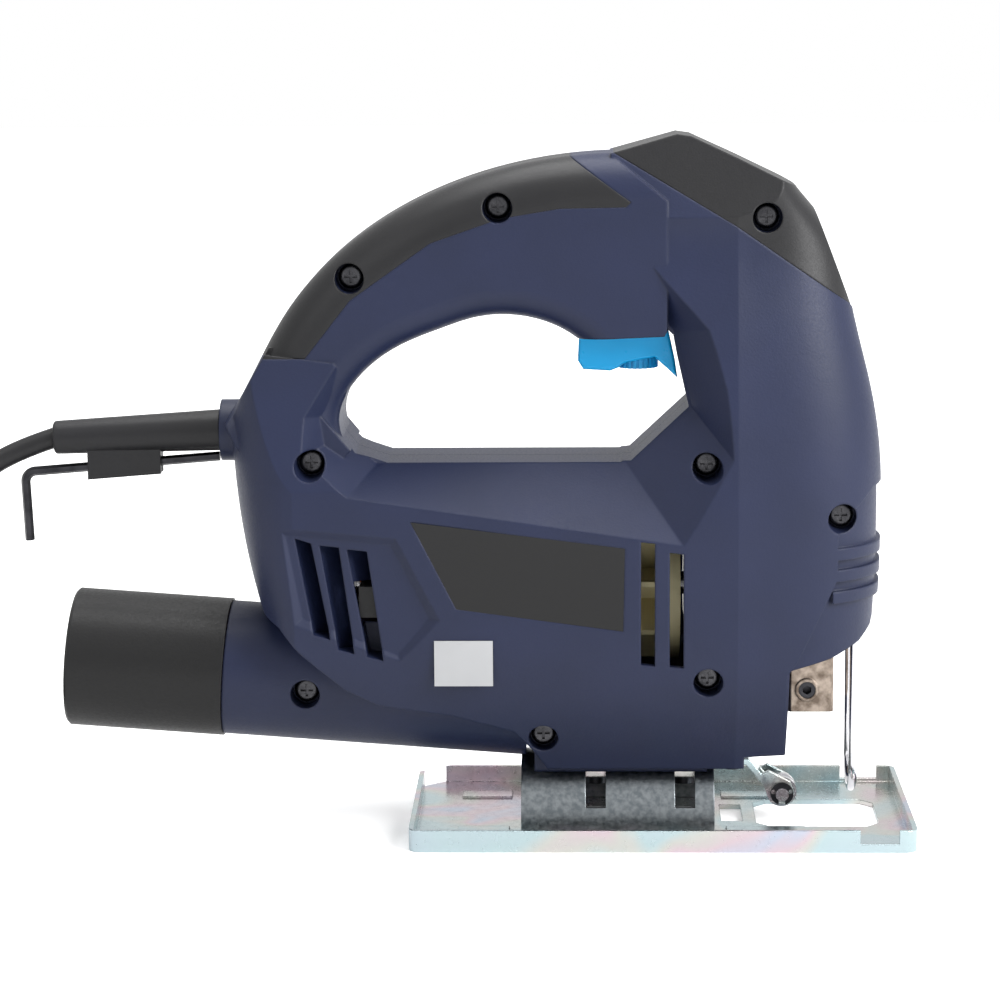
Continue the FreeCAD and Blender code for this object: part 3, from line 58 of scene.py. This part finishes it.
camera = bpy.data.objects.new("camera", bpy.data.cameras.new("camera"))
camera.data.lens = FOCAL_LENGTH
camera.data.sensor_width = SENSOR
camera.matrix_world = Matrix((right, up, -ahead)).transposed().to_4x4()
camera.location = EYE
scene.collection.objects.link(camera)
scene.camera = camera
scene.view_settings.view_transform = "Standard"


# ---------------------------------------------------------------- mains cord
# Round black rubber flex, 6.2 mm thick, extruded to an even satin surface. It hangs from the boot down to
# the table, where the rest of it is wound up in two columns of four turns, with its plug beside it.

def linear(hex_colour):
    """Scene-linear colour of an sRGB hex value."""
    parts = [int(hex_colour[i:i + 2], 16) / 255 for i in (1, 3, 5)]
    return tuple(c / 12.92 if c <= 0.04045 else ((c + 0.055) / 1.055) ** 2.4 for c in parts) + (1.0,)


def add(tree, kind, sockets, **settings):
    """A node with its settings, and with each named socket set to a value or linked to an output."""
    made = tree.nodes.new(kind)
    for name, value in settings.items():
        setattr(made, name, value)
    for name, value in sockets.items():
        if isinstance(value, bpy.types.NodeSocket):
            tree.links.new(value, made.inputs[name])
        else:
            made.inputs[name].default_value = value
    return made


def material(name):
    """An empty material and its node tree."""
    made = bpy.data.materials.new(name)
    made.use_nodes = True
    made.node_tree.nodes.clear()
    return made, made.node_tree


def per_metre(millimetres):
    """Texture scale at which a noise's features are about that far apart."""
    return 1.0 / (millimetres * MM)


def clouded(tree, place, cloud_mm, detail, low, colour, darker):
    """Two close shades that give way to each other in clouds; a higher low makes their edges sharper."""
    cloud = add(tree, "ShaderNodeTexNoise", {"Vector": place, "Scale": per_metre(cloud_mm), "Detail": detail})
    tint = add(tree, "ShaderNodeMapRange", {
        "Value": cloud.outputs["Fac"], "From Min": low, "From Max": 1.0 - low})
    shades = add(tree, "ShaderNodeMix", {
        "Factor": tint.outputs["Result"], "A": linear(darker), "B": linear(colour)}, data_type="RGBA")
    return shades.outputs["Result"]


def fine_surface(tree, grain, roughness, spread, depth_mm, edge_mm):
    """Roughness and relief that follow a grain, and edges that look rounded by a small radius."""
    rough = add(tree, "ShaderNodeMapRange", {
        "Value": grain.outputs["Fac"], "From Min": 0.3, "From Max": 0.7,
        "To Min": roughness - spread, "To Max": roughness + spread})
    relief = {"Height": grain.outputs["Fac"], "Distance": depth_mm * MM, "Strength": 1.0}
    if edge_mm:
        rounded = add(tree, "ShaderNodeBevel", {"Radius": edge_mm * MM}, samples=6)
        relief["Normal"] = rounded.outputs["Normal"]
    bump = add(tree, "ShaderNodeBump", relief)
    return {"Roughness": rough.outputs["Result"], "Normal": bump.outputs["Normal"]}


def grained(name, colour, darker, roughness, grain_mm, depth_mm, edge_mm=0.0, spread=0.06):
    """Moulded plastic or rubber: an even colour, and the grain of its mould, which dims its gloss."""
    made, tree = material(name)
    place = add(tree, "ShaderNodeTexCoord", {}).outputs["Object"]
    grain = add(tree, "ShaderNodeTexNoise", {"Vector": place, "Scale": per_metre(grain_mm), "Detail": 2.0})
    surface = add(tree, "ShaderNodeBsdfPrincipled", {
        "Base Color": clouded(tree, place, 25.0, 3.0, 0.3, colour, darker),
        "IOR": 1.5, "Specular IOR Level": 0.3,
        **fine_surface(tree, grain, roughness, spread, depth_mm, edge_mm)})
    add(tree, "ShaderNodeOutputMaterial", {"Surface": surface.outputs["BSDF"]})
    return made


def paint(made, *nodes):
    """Gives CAD nodes a material."""
    for name in nodes:
        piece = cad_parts[name]
        piece.data.materials.clear()
        piece.data.materials.append(made)


cord_rubber = grained("extruded_rubber", "#161618", "#121214", 0.42, 0.8, 0.02)

CORD_RADIUS = 3.1
CORD_ROUTE = [
    (-182.1, 0.0, 118.4), (-192.4, -1.6, 115.2), (-203.2, -6.4, 109.4), (-213.2, -13.1, 100.0),
    (-220.9, -19.2, 86.5), (-225.0, -23.0, 70.1), (-226.6, -24.1, 54.2), (-230.7, -24.1, 40.9),
    (-239.7, -24.1, 30.2), (-252.1, -24.1, 23.6),
]
PLUG_END = [
    (-249.0, -25.4, 3.9), (-261.2, -31.0, 4.3), (-274.2, -33.4, 5.8), (-284.6, -33.2, 7.5),
    (-292.4, -33.0, 8.5),
]
COIL_CENTRE = (-266.0, 13.0)
COIL_SLOTS = [           # radius and layer of each turn, from the top down, and where the plug's end leaves
    (37.1, 3), (30.9, 3), (30.9, 2), (37.1, 2), (37.1, 1), (30.9, 1), (30.9, 0), (37.1, 0), (43.3, 0),
]
COIL_MIDDLE = 34.0
COIL_LIFT = 0.9          # room for the tie under the coil
BULGE = 2.3              # a turn on its way to the next layer stands out of its column
POINTS_PER_TURN = 16
COIL_TURNS = 7.875

coil = []
for step in range(int(COIL_TURNS * POINTS_PER_TURN) + 1):
    turn, within = divmod(step / POINTS_PER_TURN, 1.0)
    here = COIL_SLOTS[int(turn)]
    after = COIL_SLOTS[int(turn) + 1]
    share = max(0.0, 4.0 * within - 3.0)      # it moves over in the last quarter of the turn
    radius = here[0] + (after[0] - here[0]) * share
    if here[1] != after[1]:
        radius += math.copysign(BULGE, here[0] - COIL_MIDDLE) * math.sin(math.pi * share)
    layer = here[1] + (after[1] - here[1]) * share
    angle = -math.pi / 2 - 2 * math.pi * step / POINTS_PER_TURN
    coil.append((COIL_CENTRE[0] + radius * math.cos(angle), COIL_CENTRE[1] + radius * math.sin(angle),
                 CORD_RADIUS * (1 + 2 * layer) + COIL_LIFT))
route = [Vector(p) for p in CORD_ROUTE + coil + PLUG_END]

line = bpy.data.curves.new("mains_cord", "CURVE")
line.dimensions = "3D"
line.bevel_depth = CORD_RADIUS * MM
line.bevel_resolution = 6
line.resolution_u = 6
line.use_fill_caps = True
spline = line.splines.new("NURBS")
spline.points.add(len(route) - 1)
for point, place in zip(spline.points, route):
    point.co = (*(place * MM), 1.0)
spline.order_u = 3
spline.use_endpoint_u = True
mains_cord = bpy.data.objects.new("mains_cord", line)
scene.collection.objects.link(mains_cord)
line.materials.append(cord_rubber)
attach(mains_cord, "tool")
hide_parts("cord_run", "cord_coil", "cord_end")

# ---------------------------------------------------------------- cord tie
# A strap of black hook-and-loop tape closed round the turns, on the side of the coil away from the tool.
# Its fine loops scatter the light, so that it looks dull beside the cord.

TIE_WIDTH, TIE_SHEET, TIE_ANGLE = 14.0, 0.6, math.radians(205)
TIE_ROOM = 0.15          # between the strap and the turns
TIE_CORNER = 2.4
LAYERS = 4

strap = bmesh.new()
low, high = COIL_LIFT - TIE_ROOM, 2 * LAYERS * CORD_RADIUS + COIL_LIFT + TIE_ROOM
reach = 2 * CORD_RADIUS + TIE_ROOM
section = [(-reach, low), (reach, low), (reach, high), (-reach, high)]
ring = [strap.verts.new((r * MM, -TIE_WIDTH / 2 * MM, z * MM)) for r, z in section]
loop = [strap.edges.new((ring[i - 1], ring[i])) for i in range(4)]
grown = bmesh.ops.extrude_edge_only(strap, edges=loop)["geom"]
bmesh.ops.translate(strap, verts=[v for v in grown if isinstance(v, bmesh.types.BMVert)],
                    vec=(0, TIE_WIDTH * MM, 0))
corners = [e for e in strap.edges if abs(e.verts[0].co.y - e.verts[1].co.y) > MM]
bmesh.ops.bevel(strap, geom=corners, offset=TIE_CORNER * MM, offset_type="OFFSET", segments=5, profile=0.5,
                affect="EDGES", material=-1)
bmesh.ops.recalc_face_normals(strap, faces=strap.faces)
bmesh.ops.solidify(strap, geom=strap.faces, thickness=-TIE_SHEET * MM)
where = Vector((COIL_CENTRE[0] + COIL_MIDDLE * math.cos(TIE_ANGLE),
                COIL_CENTRE[1] + COIL_MIDDLE * math.sin(TIE_ANGLE), 0)) * MM
bmesh.ops.transform(strap, matrix=Matrix.Translation(where) @ Matrix.Rotation(TIE_ANGLE, 4, "Z"),
                    verts=strap.verts)


def piece_from(shape, name, made, body):
    """Turns a finished, flat-sided shape into a piece of the object that rides on a body."""
    mesh = bpy.data.meshes.new(name)
    shape.to_mesh(mesh)
    shape.free()
    mesh.materials.append(made)
    piece = bpy.data.objects.new(name, mesh)
    scene.collection.objects.link(piece)
    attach(piece, body)


tie_tape = grained("hook_and_loop_tape", "#242427", "#1a1a1c", 0.85, 0.7, 0.15)
piece_from(strap, "cord_tie", tie_tape, "tool")

# ---------------------------------------------------------------- boot, leads, plug and clamp
# The boot is moulded rubber with a fork under it that holds the key, and the plug is moulded on the flex
# round two nickel-plated pins. Inside, two blue leads and a black nylon clamp held by two screws.

boot_rubber = grained("moulded_rubber", "#18181b", "#141416", 0.45, 0.9, 0.03, edge_mm=0.5)
paint(boot_rubber, "cord_boot", "cord_inner", "plug_body")
paint(grained("lead_insulation", "#2c4a9c", "#24407f", 0.4, 2.0, 0.01), "internal_leads")


def metal(name, colour, darker, roughness, cloud_mm, grain_mm, depth_mm, stretch=(1, 1, 1), edge_mm=0.0):
    """Bare or plated metal: colour that clouds, and scratches or grain drawn out along one axis."""
    made, tree = material(name)
    place = add(tree, "ShaderNodeTexCoord", {}).outputs["Object"]
    drawn = add(tree, "ShaderNodeMapping", {"Vector": place, "Scale": stretch}).outputs["Vector"]
    grain = add(tree, "ShaderNodeTexNoise", {"Vector": drawn, "Scale": per_metre(grain_mm), "Detail": 3.0})
    surface = add(tree, "ShaderNodeBsdfPrincipled", {
        "Base Color": clouded(tree, place, cloud_mm, 4.0, 0.35, colour, darker), "Metallic": 1.0,
        **fine_surface(tree, grain, roughness, 0.08, depth_mm, edge_mm)})
    add(tree, "ShaderNodeOutputMaterial", {"Surface": surface.outputs["BSDF"]})
    return made


pin_brass = metal("nickel_plated_brass", "#c9c2a8", "#b5ad90", 0.25, 6.0, 0.6, 0.01)
inner_nylon = grained("black_nylon", "#2b2b2e", "#242427", 0.45, 1.2, 0.02, edge_mm=0.3)
screw_steel = metal("blackened_screw_steel", "#4a4a4d", "#3a3a3d", 0.32, 3.0, 0.5, 0.01)
paint(pin_brass, "plug_pins")
paint(inner_nylon, "cord_clamp")
paint(screw_steel, "cord_clamp_screws")

# ---------------------------------------------------------------- hex key
# Key bent from hexagonal steel bar and blackened in a hot oxide bath, which leaves a dark satin shine.
# It is pushed through the fork under the boot.

oxide_steel = metal("black_oxide_steel", "#3d3d40", "#2c2c2f", 0.36, 5.0, 0.8, 0.01, edge_mm=0.15)
paint(oxide_steel, "hex_key")

# ---------------------------------------------------------------- housing halves
# Two halves of glass-filled nylon, dark navy, screwed together along the middle. They are moulded in a
# spark-eroded tool that leaves an even fine grain, so that highlights spread softly.

navy_nylon = grained("navy_nylon", "#1b223d", "#181f38", 0.47, 0.7, 0.035, edge_mm=1.0, spread=0.05)
paint(navy_nylon, "housing_right", "housing_left")

# ---------------------------------------------------------------- grip and cap
# Black thermoplastic rubber moulded over the back of the handle and over the front above the nose, one
# piece on each half, with a satin grain and softly rounded edges.

grip_rubber = grained("grip_rubber", "#1b1b1d", "#18181a", 0.42, 0.6, 0.03, edge_mm=0.8)
paint(grip_rubber, "rear_grip_right", "rear_grip_left", "front_cap_right", "front_cap_left")

# ---------------------------------------------------------------- housing screws
# Round-headed cross-recessed screws of blackened steel, at the bottom of deep recesses, where they show
# only as a dull glint.

paint(screw_steel, "housing_screws", "fork_screw")

# ---------------------------------------------------------------- rating label and sticker
# A glossy black film in a shallow pocket, which mirrors the room, and a small square of white film.
# Both are left blank.

label_film = grained("gloss_label_film", "#0c0c0e", "#0a0a0c", 0.1, 6.0, 0.005, spread=0.02)
white_film = grained("white_sticker_film", "#b2b3b5", "#abacae", 0.4, 5.0, 0.01)
paint(label_film, "rating_plate")
paint(white_film, "sticker")

# ---------------------------------------------------------------- trigger, dial and lock button
# Trigger and speed dial of smooth bright blue ABS, the dial a shade deeper, and a lock button of near-black
# ABS on the other side. Behind them the switch block and its amber film capacitor.

trigger_abs = grained("blue_abs", "#12a4e2", "#109bd8", 0.33, 3.0, 0.01, edge_mm=0.4)
dial_abs = grained("dial_abs", "#1b96d0", "#1686bd", 0.38, 2.0, 0.01, edge_mm=0.2)
button_abs = grained("button_abs", "#26262a", "#202023", 0.4, 1.5, 0.02, edge_mm=0.3)
paint(trigger_abs, "trigger")
paint(dial_abs, "speed_dial")
paint(button_abs, "lock_button")
paint(inner_nylon, "switch_unit")
paint(grained("capacitor_film", "#b8862a", "#a87820", 0.3, 4.0, 0.01), "capacitor")

# ---------------------------------------------------------------- base plate
# Pressed steel, zinc plated and passivated: bright, with faint yellow, pink and green clouds. The clamp
# plate and the roller's fork are pressed and plated the same way.

passivated_zinc, tree = material("passivated_zinc")
place = add(tree, "ShaderNodeTexCoord", {}).outputs["Object"]
broad = add(tree, "ShaderNodeTexNoise", {"Vector": place, "Scale": per_metre(55.0), "Detail": 2.0,
                                         "Distortion": 1.2})
fine = add(tree, "ShaderNodeTexNoise", {"Vector": place, "Scale": per_metre(2.0), "Detail": 4.0})
film = add(tree, "ShaderNodeValToRGB", {"Fac": broad.outputs["Fac"]})
bands = film.color_ramp.elements
bands[0].position, bands[0].color = 0.25, linear("#adbbc3")
bands[1].position, bands[1].color = 0.75, linear("#b2bac7")
for at, tint in ((0.42, "#acbec1"), (0.50, "#bbbbb6"), (0.56, "#c2b2b8"), (0.64, "#b0b7c5")):
    bands.new(at).color = linear(tint)
surface = add(tree, "ShaderNodeBsdfPrincipled", {
    "Base Color": film.outputs["Color"], "Metallic": 1.0,
    **fine_surface(tree, fine, 0.23, 0.07, 0.01, 0.5)})
add(tree, "ShaderNodeOutputMaterial", {"Surface": surface.outputs["BSDF"]})
paint(passivated_zinc, "base_plate", "base_clamp_plate", "roller_fork")

# ---------------------------------------------------------------- tilt bracket
# Half tube of phosphated steel, welded on the base: grey, mottled by the coating's crystals. The bolts
# that clamp it and the blade clamp's screw are black oxide.

phosphate = metal("phosphated_steel", "#82878a", "#676d71", 0.36, 1.6, 0.9, 0.02, edge_mm=0.5)
paint(phosphate, "tilt_bracket")
paint(oxide_steel, "base_clamp_bolts", "clamp_screw")

# ---------------------------------------------------------------- blade clamp
# Block, washer and yoke of sintered steel, pressed from powder and oiled to a warm brown grey. Fine pores
# break up its shine.

sintered = metal("sintered_steel", "#a3968a", "#665a50", 0.36, 3.0, 0.5, 0.05, edge_mm=0.6)
paint(sintered, "blade_clamp", "clamp_washer", "yoke")

# ---------------------------------------------------------------- plunger, roller and wire guard
# Ground steel for shafts, pins, bearings and the roller, and bright drawn wire for the guard and springs:
# both mirror the room, with fine marks. The roller's clip is blackened.

ground_steel = metal("ground_steel", "#c4c4c6", "#b4b4b8", 0.22, 6.0, 0.5, 0.01)
bright_wire = metal("bright_wire", "#d6d6d8", "#c8c8cc", 0.12, 8.0, 0.8, 0.004)
paint(oxide_steel, "roller_clip")
paint(ground_steel, "plunger", "guide_roller", "roller_pin", "crank_pin", "armature_shaft",
      "gear_shaft", "rear_bearing", "front_bearing")
paint(bright_wire, "blade_guard", "brush_springs", "trigger_spring")

# ---------------------------------------------------------------- dust adapter
# Sleeve of black ABS, moulded with a coarse even grain that keeps it matt. It is pushed on the tube's end.

adapter_abs = grained("black_abs", "#0d0d0e", "#0b0b0c", 0.46, 0.9, 0.05, edge_mm=0.4)
paint(adapter_abs, "dust_adapter")

# ---------------------------------------------------------------- motor and gears
# Stacked silicon steel, copper wire, a cream nylon fan and an aluminium bearing plate, seen through the
# vents. Brushes of pressed carbon stand in holders of black phenolic.

laminated = metal("stacked_silicon_steel", "#7c7e84", "#66686e", 0.4, 4.0, 0.6, 0.05, stretch=(1, 0.2, 0.2))
copper = metal("enamelled_copper", "#b5652f", "#8f4a20", 0.32, 3.0, 0.5, 0.06)
cream_nylon = grained("cream_nylon", "#d8cfa6", "#cdc397", 0.45, 1.5, 0.02, edge_mm=0.3)
cast_aluminium = metal("cast_aluminium", "#b9bbbe", "#a6a8ac", 0.42, 6.0, 0.8, 0.04)
carbon = grained("pressed_carbon", "#2a2a2b", "#222223", 0.6, 0.8, 0.03)
phenolic = grained("black_phenolic", "#0e0e0f", "#0b0b0c", 0.5, 1.0, 0.02)
paint(laminated, "armature_core", "field_core", "drive_gear")
paint(copper, "armature_windings", "field_coils", "commutator")
paint(cream_nylon, "cooling_fan")
paint(cast_aluminium, "gear_plate")
paint(phenolic, "brush_holders")
paint(pin_brass, "plunger_bushes")
paint(carbon, "carbon_brushes")

# ---------------------------------------------------------------- fan disc
# The fan's flat back, moulded with its blades in cream nylon. It closes the fan towards the gear plate and
# turns with the motor.

FAN_AXIS_HEIGHT, DISC_RADIUS, DISC_BORE, DISC_REAR, DISC_FRONT = 73.5, 22.6, 4.6, 2.1, 5.5
DISC_STEPS = 90

disc = bmesh.new()
section = [disc.verts.new((x * MM, 0, (FAN_AXIS_HEIGHT + r) * MM))
           for x, r in ((DISC_REAR, DISC_BORE), (DISC_REAR, DISC_RADIUS),
                        (DISC_FRONT, DISC_RADIUS), (DISC_FRONT, DISC_BORE))]
edges = [disc.edges.new((section[i - 1], section[i])) for i in range(4)]
bmesh.ops.spin(disc, geom=section + edges, cent=(0, 0, FAN_AXIS_HEIGHT * MM), axis=(1, 0, 0),
               angle=math.tau, steps=DISC_STEPS, use_merge=True)
bmesh.ops.recalc_face_normals(disc, faces=disc.faces)
piece_from(disc, "fan_disc", cream_nylon, "motor")

# ---------------------------------------------------------------- vent fins
# Fins of the housing's own navy nylon, moulded behind the rear vents of both halves. Each slants from its
# slot's rear edge inwards, so that nothing shows through the slots but shade.

FIN_OUTER, FIN_INNER, FIN_SHEET = 28.6, 22.0, 1.0
FIN_BACK = 0.8           # how far each stands behind its slot's edge
FINS = [
    [(-107.4, 92.9), (-102.7, 91.4), (-97.4, 62.8), (-102.3, 64.3)],
    [(-100.2, 90.8), (-94.6, 90.2), (-90.4, 58.5), (-95.1, 59.7)],
    [(-92.2, 89.6), (-86.4, 89.0), (-84.6, 79.0), (-90.4, 79.6)],
]
fins = bmesh.new()
for top_rear, top_front, low_front, low_rear in FINS:
    corners = [(top_rear, FIN_OUTER), (top_front, FIN_INNER), (low_front, FIN_INNER), (low_rear, FIN_OUTER)]
    face = fins.faces.new([fins.verts.new(((x - FIN_BACK) * MM, y * MM, z * MM)) for (x, z), y in corners])
    grown = bmesh.ops.extrude_face_region(fins, geom=[face])["geom"]
    bmesh.ops.translate(fins, vec=(0, -FIN_SHEET * MM, 0),
                        verts=[v for v in grown if isinstance(v, bmesh.types.BMVert)])
bmesh.ops.mirror(fins, geom=fins.verts[:] + fins.edges[:] + fins.faces[:], axis="Y", merge_dist=0)
bmesh.ops.recalc_face_normals(fins, faces=fins.faces)
piece_from(fins, "vent_fins", navy_nylon, "tool")

# ---------------------------------------------------------------- floor and light
# White table and white room, lit by three large soft boxes. The room gives less light from the front, where
# the camera stands, so that the tool's flat side keeps its colour.

def sees_background(tree):
    """1 for a ray from the camera, off gloss or through glass: these see the background's white."""
    path = add(tree, "ShaderNodeLightPath", {}).outputs
    mirrored = add(tree, "ShaderNodeMath", {0: path["Is Camera Ray"], 1: path["Is Glossy Ray"]},
                   operation="MAXIMUM")
    through = add(tree, "ShaderNodeMath", {0: mirrored.outputs["Value"], 1: path["Is Transmission Ray"]},
                  operation="MAXIMUM")
    return through.outputs["Value"]


TABLE_HALF_SIDE = 4.0    # metres

table_paint, tree = material("white_table")
path = add(tree, "ShaderNodeLightPath", {})
shade = add(tree, "ShaderNodeMix", {"Factor": path.outputs["Is Glossy Ray"], "A": linear("#f2f2f2"),
                                    "B": linear("#dcdcdc")}, data_type="RGBA")
diffuse = add(tree, "ShaderNodeBsdfDiffuse", {"Color": shade.outputs["Result"]})
place = add(tree, "ShaderNodeTexCoord", {}).outputs["Object"]
distance = add(tree, "ShaderNodeVectorMath", {0: place}, operation="LENGTH")
evened = add(tree, "ShaderNodeMapRange", {          # the lamps light the table less, the further out it is
    "Value": distance.outputs["Value"], "From Min": 0.3, "From Max": 1.2, "To Min": 0.45, "To Max": 1.0})
glow = add(tree, "ShaderNodeEmission", {"Color": (1, 1, 1, 1), "Strength": evened.outputs["Result"]})
both = add(tree, "ShaderNodeAddShader", {})
tree.links.new(diffuse.outputs["BSDF"], both.inputs[0])
tree.links.new(glow.outputs["Emission"], both.inputs[1])
seen = add(tree, "ShaderNodeMixShader", {"Fac": sees_background(tree)})
tree.links.new(diffuse.outputs["BSDF"], seen.inputs[1])
tree.links.new(both.outputs["Shader"], seen.inputs[2])
add(tree, "ShaderNodeOutputMaterial", {"Surface": seen.outputs["Shader"]})

table = bmesh.new()
bmesh.ops.create_grid(table, x_segments=1, y_segments=1, size=TABLE_HALF_SIDE)
mesh = bpy.data.meshes.new("table")
table.to_mesh(mesh)
table.free()
mesh.materials.append(table_paint)
floor = bpy.data.objects.new("table", mesh)
scene.collection.objects.link(floor)

world = bpy.data.worlds.new("white_room")
scene.world = world
world.use_nodes = True
tree = world.node_tree
tree.nodes.clear()
direction = add(tree, "ShaderNodeTexCoord", {}).outputs["Generated"]
facing = add(tree, "ShaderNodeSeparateXYZ", {"Vector": direction})
behind = add(tree, "ShaderNodeMapRange", {"Value": facing.outputs["Y"], "From Min": -0.1, "From Max": 0.6,
                                          "To Min": 0.2, "To Max": 1.0})
fill = add(tree, "ShaderNodeBackground", {"Color": (1, 1, 1, 1), "Strength": behind.outputs["Result"]})
white = add(tree, "ShaderNodeBackground", {"Color": (1, 1, 1, 1), "Strength": 1.0})
mixed = add(tree, "ShaderNodeMixShader", {"Fac": sees_background(tree)})
tree.links.new(fill.outputs["Background"], mixed.inputs[1])
tree.links.new(white.outputs["Background"], mixed.inputs[2])
add(tree, "ShaderNodeOutputWorld", {"Surface": mixed.outputs["Shader"]})

LAMPS_AIM = Vector((-30, 0, 100)) * MM
SOFT_BOXES = [           # name, place, side in millimetres, watts
    ("key_box", (1000, -600, 800), 800, 26.0),
    ("fill_box", (-900, -1000, 900), 900, 3.0),
    ("top_box", (0, 100, 1200), 900, 14.0),
]
for name, place, side, power in SOFT_BOXES:
    lamp = bpy.data.lights.new(name, "AREA")
    lamp.shape = "SQUARE"
    lamp.size = side * MM
    lamp.energy = power
    box = bpy.data.objects.new(name, lamp)
    box.location = Vector(place) * MM
    box.rotation_euler = (LAMPS_AIM - box.location).to_track_quat("-Z", "Y").to_euler()
    scene.collection.objects.link(box)
